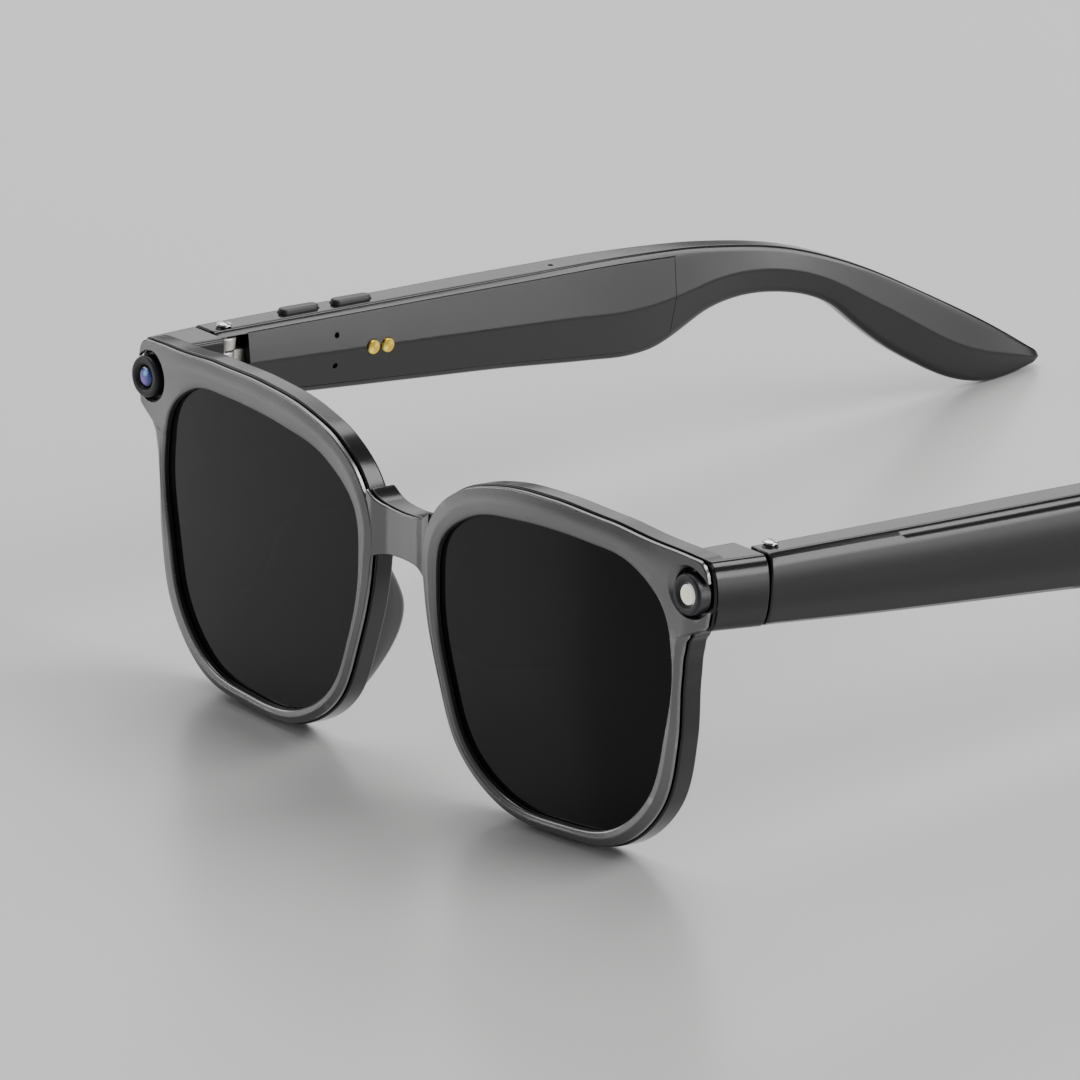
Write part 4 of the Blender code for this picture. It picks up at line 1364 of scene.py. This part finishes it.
@dataclass
class Lens:
    """Tinted lens of one eye, gently domed, with a polished bevel."""

    shop: Workshop
    shape: FrontShape
    side: Side
    grow: float = 0.8
    front: float = 1.3
    back: float = 2.9
    rounds: int = 14

    def _sheet(self, depth: float, grow: float, dome: float) -> list[list[Point]]:
        """Nested loops of one face, from the edge towards the middle.

        Args:
            depth: Depth behind the front surface.
            grow: Outward offset in mm.
            dome: How far the middle stands out.

        Returns:
            Loops from the edge to the middle.
        """
        edge = np.array(self.shape.ring(self.side, 0.0, grow, 0.0))
        middle = np.array((self.side.value * self.shape.eye[0], 0.0, self.shape.eye[1]))
        loops = []
        for step in range(self.rounds):
            share = 1 - (step / self.rounds) ** 1.15
            loop = []
            for x, _, z in edge:
                nx = middle[0] + (x - middle[0]) * share
                nz = middle[2] + (z - middle[2]) * share
                loop.append((nx, self.shape.depth(nx, nz) + depth - dome * (1 - share * share), nz))
            loops.append(loop)
        return loops

    def build(self) -> bpy.types.Object:
        """Lens solid from its front sheet, edge and back sheet."""
        front = self._sheet(self.front, self.grow - 0.15, 0.25)
        back = self._sheet(self.back, self.grow - 0.15, 0.25)
        rim = [self.shape.ring(self.side, 0.0, self.grow, depth)
               for depth in (self.front + 0.15, self.back - 0.15)]
        rings = list(reversed(front)) + rim + back
        return self.shop.loft("lens_" + self.side.tag + "_tinted", rings)

    def seal(self, tree: NodeShop) -> bpy.types.Object:
        """Thin bead that seats the lens in its groove.

        Args:
            tree: Bead tree.

        Returns:
            The bead.
        """
        loop = self.shape.ring(self.side, 0.0, 0.12, self.front - 0.16)
        mesh = bpy.data.meshes.new("seal_loop")
        points = [self.shop.wearing.place(point) for point in loop]
        edges = [(index, (index + 1) % len(points)) for index in range(len(points))]
        mesh.from_pydata(points, edges, [])
        piece = bpy.data.objects.new("lens_seal_" + self.side.tag, mesh)
        bpy.context.scene.collection.objects.link(piece)
        return tree.run(piece, Radius=0.00013, Resolution=8, Material=SEAL_RUBBER.material())

    def dress(self, piece: bpy.types.Object, seal: bpy.types.Object) -> None:
        """Tint the lens and blacken its seal."""
        settle(piece, LENS_TINT, "front", ["lens_" + self.side.tag])
        settle(seal, SEAL_RUBBER, "front")


@dataclass
class EyeModule:
    """Round module in a front corner: proud bezel and what it frames."""

    shop: Workshop
    shape: FrontShape
    plate: FrontPlate
    side: Side
    bezel_radius: float = 3.1
    window_radius: float = 1.62
    glass_radius: float = 1.5
    proud: float = 0.8

    @property
    def front(self) -> float:
        """Depth of the frame's surface at the module."""
        return self.shape.depth(*self.plate.module)

    @property
    def centre(self) -> Pair:
        """Place of the module's axis across the face."""
        return (self.side.value * self.plate.module[0], self.plate.module[1])

    def bezel(self, name: str) -> bpy.types.Object:
        """Black disc with a rounded edge and a stepped window.

        Args:
            name: Object name.

        Returns:
            The disc.
        """
        face = self.front - self.proud
        seat = self.front + self.plate.seat_depth - 0.3
        outer, inner = self.bezel_radius, self.window_radius
        profile = [(seat, inner + 0.15), (face + 0.62, inner + 0.02), (face + 0.42, inner + 0.06),
                   (face + 0.16, inner + 0.30), (face + 0.05, inner + 0.42), (face, inner + 0.55)]
        for step in range(7):
            angle = math.pi / 2 * step / 6
            profile.append((face + 0.45 * (1 - math.cos(angle)), outer - 0.45 * (1 - math.sin(angle))))
        profile.append((seat, outer))
        return self.shop.turned(name, self.centre, Axis.BACKWARD, profile, 96)

    def dome(self, name: str, radius: float, face: float, back: float, swell: float) -> bpy.types.Object:
        """Solid window with a domed face.

        Args:
            name: Object name.
            radius: Radius in mm.
            face: Depth of the face.
            back: Depth of the back.
            swell: Height of the dome.

        Returns:
            The window.
        """
        profile = [(back, radius)]
        for step in range(9):
            angle = math.pi / 2 * step / 9
            profile.append((face + swell * (1 - math.sin(angle)), radius * math.cos(angle)))
        return self.shop.turned(name, self.centre, Axis.BACKWARD, profile, 64, closed=False)


@dataclass
class Camera(EyeModule):
    """Camera in the wearer's right corner."""

    def build(self, row: NodeShop) -> dict[str, bpy.types.Object]:
        """Bezel, coated front glass and the stepped baffles of the barrel.

        Args:
            row: Row tree.

        Returns:
            Pieces by role.
        """
        glass = self.dome("camera_front_glass", self.glass_radius, self.front - 0.66,
                          self.front - 0.02, 0.30)
        baffle = self.shop.turned("camera_baffles", (0.0, 0.0), Axis.BACKWARD,
                                  ((0.0, 2.05), (0.12, 2.1), (0.62, 2.1), (0.62, 1.25), (0.12, 1.1),
                                   (0.0, 1.2)), 48)
        baffle.data.transform(Matrix.Translation(-self.shop.wearing.origin))
        start = self.shop.wearing.place((self.centre[0], self.front + 1.35, self.centre[1]))
        step = self.shop.wearing.turn((0.0, 0.72 * MM, 0.0))
        row.run(baffle, Count=4, Start=tuple(start), Step=tuple(step), Shrink=0.06,
                Material=MODULE_PLASTIC.material())
        return {"bezel": self.bezel("camera_bezel_disc"), "glass": glass, "baffles": baffle}

    def dress(self, pieces: dict[str, bpy.types.Object]) -> None:
        """Finish the camera's pieces.

        Args:
            pieces: Pieces by role.
        """
        middle = self.shop.wearing.place((self.centre[0], self.front - 0.5, self.centre[1]))
        coating = CoatedOptic("camera_coating", "coated_glass", tuple(middle))
        settle(pieces["bezel"], MODULE_PLASTIC, "front", ["camera_bezel"])
        settle(pieces["glass"], coating, "front", ["camera_glass"])
        settle(pieces["baffles"], MODULE_PLASTIC, "front", ["camera_barrel"])


@dataclass
class Light(EyeModule):
    """Capture light in the wearer's left corner."""

    def build(self) -> dict[str, bpy.types.Object]:
        """Bezel and milky window."""
        window = self.dome("light_window", self.glass_radius, self.front - 0.76, self.front + 1.15, 0.22)
        return {"bezel": self.bezel("light_bezel_disc"), "window": window}

    def dress(self, pieces: dict[str, bpy.types.Object]) -> None:
        """Finish the light's pieces."""
        middle = self.shop.wearing.place((self.centre[0], self.front - 0.6, self.centre[1]))
        settle(pieces["bezel"], MODULE_PLASTIC, "front", ["light_bezel"])
        settle(pieces["window"], Phosphor("light_phosphor", "diffuser", tuple(middle)), "front",
               ["light_diffuser"])


# ---------------------------------------------------------------- temples

@dataclass
class Temple:
    """One temple: shell, inner panel, hinge leaf and pivot screw."""

    shop: Workshop
    side: Side
    hinge_x: float = 63.8
    hinge_y: float = 18.4
    hinge_middle: float = -5.7
    hinge_radius: float = 2.9
    lean: float = math.radians(5.0)
    butt: float = 15.5
    end: float = 174.8
    panel_start: float = 21.9
    panel_end: float = 103.0
    panel_edge: float = 1.1
    panel_thickness: float = 1.0
    seam: float = 0.10
    wall: float = 1.5
    stations: int = 150
    top: SmoothLine = SmoothLine(((15.5, -0.3), (40.0, -0.1), (73.0, 0.25), (95.0, 0.25),
                                  (110.7, -0.65), (126.2, -3.15), (139.4, -7.6), (152.4, -13.7),
                                  (165.6, -20.5), (174.8, -25.9)))
    bottom: SmoothLine = SmoothLine(((15.5, -11.3), (34.4, -12.4), (55.3, -13.4), (72.0, -14.2),
                                     (88.0, -15.3), (96.1, -15.7), (101.0, -15.1), (105.7, -13.2),
                                     (110.5, -10.9), (115.2, -9.8), (124.5, -9.95), (130.4, -11.3),
                                     (134.5, -13.1), (139.5, -17.0), (145.3, -21.2), (150.5, -24.2),
                                     (157.1, -27.4), (162.0, -28.7), (167.0, -28.9), (174.8, -27.2)))
    ridge: SmoothLine = SmoothLine(((15.5, -5.8), (30.0, -6.1), (53.6, -6.7), (68.7, -7.1),
                                    (81.2, -7.45), (95.9, -8.0), (104.1, -7.1), (112.4, -5.6),
                                    (119.5, -5.5), (129.9, -7.6), (143.4, -14.2), (159.0, -22.5),
                                    (174.8, -26.6)))
    outer: SmoothLine = SmoothLine(((15.5, 67.6), (75.0, 68.4), (110.0, 67.6), (140.0, 66.4),
                                    (174.8, 63.6)))
    width: SmoothLine = SmoothLine(((15.5, 6.7), (95.0, 6.9), (112.0, 5.4), (140.0, 4.6),
                                    (160.0, 4.2), (174.8, 2.2)))
    pin_radius: float = 0.8
    knuckle_radius: float = 2.0
    knuckles: tuple[Pair, Pair, Pair] = ((-9.6, -7.7), (-7.4, -3.9), (-3.6, -1.7))
    clearance: float = 0.3
    leaf_half: float = 1.1
    leaf_start: float = 10.4
    head_radius: float = 1.25
    head_rise: float = 0.42
    pocket: tuple[Pair, Pair] = ((56.9, 66.2), (15.0, 23.4))
    cavity: Pair = (22.9, 99.0)

    @property
    def body(self) -> str:
        """CAD body of this temple."""
        return "temple_" + self.side.tag

    def sizes(self, y: float) -> tuple[float, float, float, float, float]:
        """Top, bottom, ridge, outer place and width at one station."""
        return tuple(float(line.eased(np.array([y]), 1.1)[0])
                     for line in (self.top, self.bottom, self.ridge, self.outer, self.width))

    def corners(self, y: float, inset: float = 0.0) -> dict[str, Pair]:
        """Main corners of the section at a station.

        Args:
            y: Place along the temple.
            inset: Inward offset in mm.

        Returns:
            Corners by name.
        """
        top, bottom, ridge, outer, width = self.sizes(y)
        inner = outer - width + inset
        outer, top, bottom = outer - inset, top - inset, bottom + inset
        lip, height = 0.16 * width, top - bottom
        return {"inner_top": (inner + 1.2 * lip, top), "outer_top": (outer - 0.22 * width, top),
                "outer_low": (outer - 0.26 * width, bottom), "inner_low": (inner + 1.8 * lip, bottom),
                "ridge": (inner, ridge), "outer": (outer, (top + bottom) / 2),
                "lower_knee": (inner + 1.1 * lip, bottom + 0.10 * height),
                "upper_knee": (inner + 0.9 * lip, top - 0.08 * height)}

    def section(self, y: float, inset: float = 0.0) -> list[Point]:
        """Rounded section of the shell at one station.

        Args:
            y: Place along the temple.
            inset: Inward offset in mm.

        Returns:
            Points of the section.
        """
        spot = self.corners(y, inset)
        outer, middle = spot["outer"]
        top, bottom = spot["outer_top"][1], spot["outer_low"][1]
        width = (outer - spot["ridge"][0])
        soft = 1.0 if y < 150.0 else 1.0 + (y - 150.0) * 0.02
        outline = [(*spot["inner_top"], 0.35 * soft), (*spot["outer_top"], 0.45)]
        for place in np.linspace(0.06, 0.94, 15):
            away = abs(2 * place - 1)
            reach = 0.14 if place < 0.5 else 0.17
            outline.append((outer - reach * width * away ** 3, top - place * (top - bottom), 0.0))
        outline += [(*spot["outer_low"], 0.5), (*spot["inner_low"], 0.5 * soft),
                    (*spot["lower_knee"], 0.5), (*spot["ridge"], 0.35), (*spot["upper_knee"], 0.4)]
        return [(self.side.value * x, y, z) for x, z in filleted(outline, 5)]

    def inner_face(self, y: float, z: float) -> float:
        """Sideways place of the inner face at a height."""
        spot = self.corners(y)
        ridge = spot["ridge"]
        knee = spot["upper_knee"] if z > ridge[1] else spot["lower_knee"]
        return ridge[0] + (z - ridge[1]) / (knee[1] - ridge[1]) * (knee[0] - ridge[0])

    def panel_ring(self, y: float, near: float, far: float, spread: float, soft: float) -> list[Point]:
        """Section of the inner panel or of its seat.

        Args:
            y: Place along the temple.
            near: Offset of the face.
            far: Offset of the back.
            spread: Growth in height.
            soft: Scale of the rounds.

        Returns:
            Points of the section.
        """
        top, bottom, ridge, _, _ = self.sizes(y)
        heights = (top - self.panel_edge + spread, ridge, bottom + self.panel_edge - spread)
        faces = [(self.inner_face(y, z) + near, z) for z in heights]
        backs = [(self.inner_face(y, z) + far, z) for z in reversed(heights)]
        rounds = (0.12 * soft, 0.35, 0.12 * soft, 0.0, 0.0, 0.0)
        outline = [(*point, radius) for point, radius in zip(faces + backs, rounds)]
        return [(self.side.value * x, y, z) for x, z in filleted(outline, 4)]

    def axis_x(self, z: float) -> float:
        """Sideways place of the leaning hinge axis."""
        return self.hinge_x - (z - self.hinge_middle) * math.tan(self.lean)

    def hinge_ring(self, radius: float, z: float, steps: int = 48) -> list[Point]:
        """Level circle about the hinge axis."""
        return [(self.side.value * (self.axis_x(z) + radius * math.cos(math.tau * k / steps)),
                 self.hinge_y + radius * math.sin(math.tau * k / steps), z) for k in range(steps)]

    def corner_cutter(self) -> bpy.types.Object:
        """Waste at the inner front corner, leaving a round about the hinge axis."""
        rings = []
        for z in (-20.0, 6.0):
            middle = self.axis_x(z)
            ring = [(middle - 6.0, self.butt - 2.0), (middle + 0.01, self.butt - 2.0)]
            for step in range(17):
                angle = -math.pi / 2 - math.pi / 2 * step / 16
                ring.append((middle + self.hinge_radius * math.cos(angle),
                             self.hinge_y + self.hinge_radius * math.sin(angle)))
            ring.append((middle - 6.0, self.hinge_y))
            rings.append([(self.side.value * x, y, z) for x, y in ring])
        return self.shop.loft("corner", rings)

    def hollow_cutters(self) -> list[bpy.types.Object]:
        """Hinge pocket, electronics space, panel seat and screw hole."""
        sign = self.side.value
        (low_x, high_x), (low_y, high_y) = self.pocket
        pocket = self.shop.block("pocket", (sign * low_x, low_y, self.knuckles[0][0] - self.clearance),
                                 (sign * high_x, high_y, self.knuckles[2][1] + self.clearance))
        spaces = []
        for y in np.linspace(*self.cavity, 20):
            top, bottom, ridge, outer, _ = self.sizes(y)
            inner = self.inner_face(y, ridge) + 0.2
            low, high = bottom + self.panel_edge + 0.5, top - self.panel_edge - 0.5
            plan = ((inner, low), (outer - self.wall, low), (outer - self.wall, high), (inner, high))
            spaces.append([(sign * x, y, z) for x, z in plan])
        hollow = self.shop.loft("hollow", spaces)
        places = np.linspace(self.panel_start - self.seam, self.panel_end + self.seam, 60)
        seat = self.shop.loft("seat", [self.panel_ring(y, -2.0, self.panel_thickness + 0.3, self.seam, 0.0)
                                       for y in places])
        hole = self.shop.loft("hole", [self.hinge_ring(self.pin_radius + self.clearance, z)
                                       for z in (-20.0, 6.0)])
        return [pocket, hollow, seat, hole]

    def shell(self, extra: Sequence[bpy.types.Object] = ()) -> bpy.types.Object:
        """Outer shell with its tip.

        Args:
            extra: Further cutters.

        Returns:
            The shell.
        """
        ends = [(self.butt, 0.28), (self.butt + 0.06, 0.14), (self.butt + 0.18, 0.04)]
        places = ends + [(y, 0.0) for y in np.linspace(self.butt + 0.4, self.end - 1.2, self.stations)]
        places += [(self.end - 0.7, 0.10), (self.end - 0.3, 0.28), (self.end, 0.55)]
        shell = self.shop.loft("shell_" + self.side.tag, [self.section(y, inset) for y, inset in places])
        cutters = [self.corner_cutter()] + self.hollow_cutters() + list(extra)
        self.shop.join(shell, cutters, Join.CUT, "MANIFOLD")
        weighted(shell)
        return shell

    def panel(self, holes: Sequence[bpy.types.Object] = ()) -> bpy.types.Object:
        """Inner panel with a crisp ridge.

        Args:
            holes: Cutters of the holes.

        Returns:
            The panel.
        """
        places = np.linspace(self.panel_start, self.panel_end, 60)
        rings = [self.panel_ring(y, 0.0, self.panel_thickness, 0.0, 1.0) for y in places]
        panel = self.shop.loft("panel_" + self.side.tag, rings)
        if holes:
            self.shop.join(panel, holes, Join.CUT, "MANIFOLD")
            weighted(panel)
        return panel

    def knuckle(self, low: float, high: float) -> list[list[Point]]:
        """Rings of one chamfered knuckle."""
        edge, radius = 0.18, self.knuckle_radius
        return [self.hinge_ring(radius - edge, low), self.hinge_ring(radius, low + edge),
                self.hinge_ring(radius, high - edge), self.hinge_ring(radius - edge, high)]

    def leaf(self, name: str, low_y: float, high_y: float, heights: Pair) -> bpy.types.Object:
        """Flat leaf with rounded corners that runs into the axis.

        Args:
            name: Object name.
            low_y: Front end.
            high_y: Rear end.
            heights: Lower and upper height.

        Returns:
            The leaf.
        """
        low_x, high_x, soft = self.hinge_x - self.leaf_half, self.hinge_x + self.leaf_half, 0.3
        plan = filleted(((low_x, low_y, soft), (high_x, low_y, soft), (high_x, high_y, soft),
                         (low_x, high_y, soft)))
        outline = [(self.side.value * x, y) for x, y in plan]
        return self.shop.prism(name, outline, *heights)

    def hinge(self) -> dict[str, bpy.types.Object]:
        """Front leaf with two knuckles, temple leaf with one, and the screw."""
        low, middle, high = self.knuckles
        bore = [self.hinge_ring(self.pin_radius + 0.2, z) for z in (-12.0, 2.0)]
        front = self.leaf("hinge_front_" + self.side.tag, self.leaf_start, self.hinge_y, (low[0], high[1]))
        gap = self.shop.block("gap", (self.side.value * (self.hinge_x - 4.0), self.butt + 0.3,
                                      middle[0] - self.clearance),
                              (self.side.value * (self.hinge_x + 4.0), self.hinge_y + 4.0,
                               middle[1] + self.clearance))
        self.shop.join(front, [gap], Join.CUT)
        self.shop.join(front, [self.shop.loft("knuckle", self.knuckle(*place)) for place in (low, high)],
                       Join.ADD)
        self.shop.join(front, [self.shop.loft("bore", bore)], Join.CUT)
        back = self.leaf("hinge_back_" + self.side.tag, self.hinge_y, self.panel_start + 5.0, middle)
        self.shop.join(back, [self.shop.loft("knuckle", self.knuckle(*middle))], Join.ADD)
        self.shop.join(back, [self.shop.loft("bore", bore)], Join.CUT)
        return {"front": front, "back": back, "screw": self.screw()}

    def screw(self) -> bpy.types.Object:
        """Domed pivot screw with a driver slot."""
        head = float(self.top.at(self.hinge_y)[0]) + self.clearance
        radius, brim = self.head_radius, 0.06
        rings = [self.hinge_ring(self.pin_radius, self.knuckles[0][0]),
                 self.hinge_ring(self.pin_radius, head), self.hinge_ring(radius - 0.07, head),
                 self.hinge_ring(radius, head + brim)]
        for step in range(1, 9):
            angle = math.pi / 2 * step / 9
            rings.append(self.hinge_ring(radius * math.cos(angle),
                                         head + brim + self.head_rise * math.sin(angle)))
        screw = self.shop.loft("pivot_screw_" + self.side.tag, rings)
        middle = self.side.value * self.axis_x(head)
        slot = self.shop.block("slot", (middle - 2.0, self.hinge_y - 0.17, head + 0.24),
                               (middle + 2.0, self.hinge_y + 0.17, head + 1.0))
        return self.shop.join(screw, [slot], Join.CUT)

    def build(self) -> dict[str, bpy.types.Object]:
        """Every piece of a plain temple."""
        return {"shell": self.shell(), "panel": self.panel(), **self.hinge()}

    def dress(self, pieces: dict[str, bpy.types.Object]) -> None:
        """Finish the temple's pieces.

        Args:
            pieces: Pieces by role.
        """
        tag = self.side.tag
        settle(pieces["shell"], TEMPLE_PLASTIC, self.body, ["temple_shell_" + tag])
        settle(pieces["panel"], PANEL_PLASTIC, self.body, ["temple_panel_" + tag])
        settle(pieces["front"], HINGE_METAL, "front", ["hinge_front_leaf_" + tag])
        settle(pieces["back"], HINGE_METAL, self.body, ["hinge_temple_leaf_" + tag])
        settle(pieces["screw"], SCREW_METAL, self.body, ["hinge_screw_" + tag])


@dataclass
class ControlTemple(Temple):
    """Right temple, with buttons, microphones and charging contacts."""

    button_x: float = 64.6
    button_centres: Pair = (33.3, 43.1)
    button_length: float = 7.0
    button_width: float = 1.9
    button_proud: float = 0.7
    button_foot: float = 1.5
    contact_centres: Pair = (44.9, 47.6)
    contact_radius: float = 1.1
    microphone_y: float = 38.3
    microphone_heights: Pair = (-3.9, -8.6)
    top_microphone: Pair = (64.0, 80.4)
    port_radius: float = 0.45

    def pill(self, centre: float, grow: float) -> list[Pair]:
        """Plan outline of a button or its slot.

        Args:
            centre: Middle of the button along the temple.
            grow: Outward offset in mm.

        Returns:
            Points of the outline.
        """
        radius = self.button_width / 2 + grow
        reach = (self.button_length - self.button_width) / 2
        outline = []
        for end, start in ((1, 0.0), (-1, math.pi)):
            for step in range(17):
                angle = start + math.pi * step / 16
                outline.append((self.side.value * self.button_x + radius * math.cos(angle),
                                centre + end * reach + radius * math.sin(angle)))
        return outline

    def slots(self) -> list[bpy.types.Object]:
        """Cutters of the button slots and the upper sound port."""
        cutters = [self.shop.prism("slot", self.pill(centre, 0.2), -3.0, 4.0)
                   for centre in self.button_centres]
        x, y = self.top_microphone
        port = self.shop.turned("port", (self.side.value * x, y), Axis.UP,
                                ((-3.0, self.port_radius), (3.0, self.port_radius)), 32, closed=False)
        return cutters + [port]

    def panel_holes(self) -> list[bpy.types.Object]:
        """Cutters of the sound ports and the contact holes."""
        holes = []
        for place, radius in self.panel_ports():
            face = self.side.value * self.inner_face(*place)
            holes.append(self.shop.turned("port", place, Axis.ACROSS,
                                          ((face - 3.0, radius), (face + 3.0, radius)), 40, closed=False))
        return holes

    def panel_ports(self) -> list[tuple[Pair, float]]:
        """Places and radii of every hole through the panel."""
        ports = [((self.microphone_y, z), self.port_radius) for z in self.microphone_heights]
        for y in self.contact_centres:
            ports.append(((y, self.sizes(y)[2]), self.contact_radius + 0.08))
        return ports

    def button(self, name: str, centre: float) -> bpy.types.Object:
        """Pill button with a rounded crown."""
        top = float(self.top.at(centre)[0])
        return self.shop.rounded_bar(name, self.pill(centre, 0.0), top - self.button_foot,
                                     top + self.button_proud, 0.35)

    def contacts(self, row: NodeShop) -> bpy.types.Object:
        """Both charging contacts, repeated along the ridge.

        Args:
            row: Row tree.

        Returns:
            Both contacts as one piece.
        """
        disc = self.shop.turned("charge_contacts", (0.0, 0.0), Axis.ACROSS,
                                ((-1.4, self.contact_radius), (0.10, self.contact_radius),
                                 (0.20, self.contact_radius - 0.06), (0.25, self.contact_radius - 0.16),
                                 (0.22, self.contact_radius * 0.6), (0.20, 0.12)), 64, closed=False)
        disc.data.transform(Matrix.Translation(-self.shop.wearing.origin))
        place = disc.data.attributes.new("disc_place", "FLOAT_VECTOR", "POINT")
        for item, vertex in zip(place.data, disc.data.vertices):
            item.vector = vertex.co
        spots = [self.shop.wearing.place((self.side.value * self.inner_face(y, self.sizes(y)[2]), y,
                                          self.sizes(y)[2])) for y in self.contact_centres]
        return row.run(disc, Count=2, Start=tuple(spots[0]), Step=tuple(spots[1] - spots[0]),
                       Material=CONTACT_GOLD.material())

    def build_all(self, row: NodeShop) -> dict[str, bpy.types.Object]:
        """Every piece of the control temple.

        Args:
            row: Row tree.

        Returns:
            Pieces by role.
        """
        pieces = {"shell": self.shell(self.slots()), "panel": self.panel(self.panel_holes()), **self.hinge()}
        for name, centre in zip(("button_front", "button_rear"), self.button_centres):
            pieces[name] = self.button(name + "_cap", centre)
        pieces["contacts"] = self.contacts(row)
        return pieces

    def dress(self, pieces: dict[str, bpy.types.Object]) -> None:
        """Finish the shared pieces, then the controls."""
        super().dress(pieces)
        for name in ("button_front", "button_rear"):
            settle(pieces[name], BUTTON_PLASTIC, name, [name])
        settle(pieces["contacts"], CONTACT_GOLD, self.body, ["charge_contact_front", "charge_contact_rear"])


# ---------------------------------------------------------------- electronics that stay from the CAD

CARRIED: dict[str, Finish] = {
    "camera_board": BOARD_MASK, "light_board": BOARD_MASK, "main_board_right": BOARD_MASK,
    "switch_board_right": BOARD_MASK, "audio_board_left": BOARD_MASK,
    "battery_left": POUCH_FOIL, "battery_right": POUCH_FOIL,
    "speaker_left": MODULE_PLASTIC, "speaker_right": MODULE_PLASTIC,
    "microphone_upper": SCREW_METAL, "microphone_lower": SCREW_METAL, "microphone_top": SCREW_METAL,
}


def dress_carried() -> None:
    """Give every carried-over CAD node its finish."""
    for name, finish in CARRIED.items():
        node = frame["nodes"][name]
        node.data.materials.clear()
        node.data.materials.append(finish.material())
        LOG.info("%s: carried over as %s", name, finish.name)


# ---------------------------------------------------------------- studio

@dataclass
class Studio:
    """Floor, soft lights and camera."""

    azimuth: float = math.radians(52.30)
    elevation: float = math.radians(21.12)
    roll: float = math.radians(-3.07)
    pixels_per_mm: float = 6.83
    image_size: float = 1080.0
    focal_length: float = 900.0
    sensor: float = 36.0
    aim_share: Point = (0.3132, 0.2786, 0.3222)

    def floor(self) -> bpy.types.Object:
        """Wide plain floor."""
        mesh = bmesh.new()
        bmesh.ops.create_grid(mesh, x_segments=4, y_segments=4, size=6.0)
        data = bpy.data.meshes.new("floor")
        mesh.to_mesh(data)
        mesh.free()
        data.materials.append(FLOOR_SWEEP.material())
        floor = bpy.data.objects.new("floor", data)
        bpy.context.scene.collection.objects.link(floor)
        floor.location.z = -0.00005
        return floor

    def softbox(self, name: str, place: Point, target: Point, size: Pair, power: float,
                tint: Point = (1.0, 1.0, 1.0)) -> bpy.types.Object:
        """Rectangular soft light aimed at a point.

        Args:
            name: Object name.
            place: Place of the light.
            target: Point that it faces.
            size: Width and height in metres.
            power: Power in watts.
            tint: Colour of the light.

        Returns:
            The light.
        """
        data = bpy.data.lights.new(name, "AREA")
        data.shape = "RECTANGLE"
        data.size, data.size_y = size
        data.energy = power
        data.color = tint
        light = bpy.data.objects.new(name, data)
        bpy.context.scene.collection.objects.link(light)
        light.location = place
        light.rotation_euler = (Vector(target) - Vector(place)).to_track_quat("-Z", "Y").to_euler()
        return light

    def lights(self) -> list[bpy.types.Object]:
        """Overhead key, soft walls behind on both sides, a low strip and a low fill."""
        middle = (0.0, 0.0, 0.03)
        return [
            self.softbox("key_overhead", (-0.6, 0.5, 1.4), middle, (1.3, 1.3), 20.0),
            self.softbox("wall_back", (-1.15, 0.90, 0.62), middle, (1.6, 0.8), 6.0),
            self.softbox("wall_right", (0.92, 0.70, 1.05), middle, (1.3, 0.6), 18.0),
            self.softbox("strip_right", (1.06, 0.75, 0.16), middle, (1.2, 0.26), 7.0),
            self.softbox("fill_left", (-1.1, -0.8, 0.36), middle, (0.8, 0.4), 3.5),
        ]

    def world(self) -> None:
        """Even grey surround."""
        world = bpy.data.worlds.new("studio")
        world.use_nodes = True
        backdrop = world.node_tree.nodes["Background"]
        backdrop.inputs["Color"].default_value = (0.55, 0.55, 0.56, 1.0)
        backdrop.inputs["Strength"].default_value = 0.36
        bpy.context.scene.world = world

    def camera(self, low: Vector, high: Vector) -> bpy.types.Object:
        """Long-lens camera at the three-quarter view.

        Args:
            low: Lowest corner of the object's box.
            high: Highest corner of the object's box.

        Returns:
            The camera, set as the scene's camera.
        """
        data = bpy.data.cameras.new("view")
        data.lens = self.focal_length
        data.sensor_width = self.sensor
        data.dof.use_dof = False
        camera = bpy.data.objects.new("view", data)
        bpy.context.scene.collection.objects.link(camera)
        aim = Vector([low[k] + (high[k] - low[k]) * self.aim_share[k] for k in range(3)])
        a, e = self.azimuth, self.elevation
        back = Vector((math.sin(a) * math.cos(e), -math.cos(a) * math.cos(e), math.sin(e)))
        focal_pixels = self.focal_length / self.sensor * self.image_size
        distance = focal_pixels / self.pixels_per_mm * MM
        camera.location = aim + back * distance
        turn = back.to_track_quat("Z", "Y").to_matrix() @ Matrix.Rotation(self.roll, 3, "Z")
        camera.rotation_euler = turn.to_euler()
        data.clip_start, data.clip_end = 0.05, 40.0
        bpy.context.scene.camera = camera
        return camera


def corners() -> list[list[float]]:
    """Current box of the shown object as plain lists."""
    return [list(corner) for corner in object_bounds()]


def main() -> None:
    """Build every assembly in order, then the studio."""
    logging.basicConfig(level=logging.INFO, format="%(name)s %(message)s")
    cad_box = corners()
    wearing = WearingFrame.from_record((Temple.hinge_x, Temple.hinge_y, Temple.hinge_middle))
    shop = Workshop(wearing)
    shape = FrontShape()
    row, bead = row_tree(), bead_tree()
    plate = FrontPlate(shop, shape)
    plate.dress(plate.build())
    cover = BackCover(shop, shape, plate)
    cover.dress(cover.build())
    for side in Side:
        lens = Lens(shop, shape, side)
        lens.dress(lens.build(), lens.seal(bead))
    eye = Camera(shop, shape, plate, Side.RIGHT)
    eye.dress(eye.build(row))
    light = Light(shop, shape, plate, Side.LEFT)
    light.dress(light.build())
    left = Temple(shop, Side.LEFT)
    left.dress(left.build())
    right = ControlTemple(shop, Side.RIGHT)
    right.dress(right.build_all(row))
    dress_carried()
    studio = Studio()
    studio.floor()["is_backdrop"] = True
    studio.lights()
    studio.world()
    studio.camera(Vector(cad_box[0]), Vector(cad_box[1]))


if __name__ == "__main__":
    main()
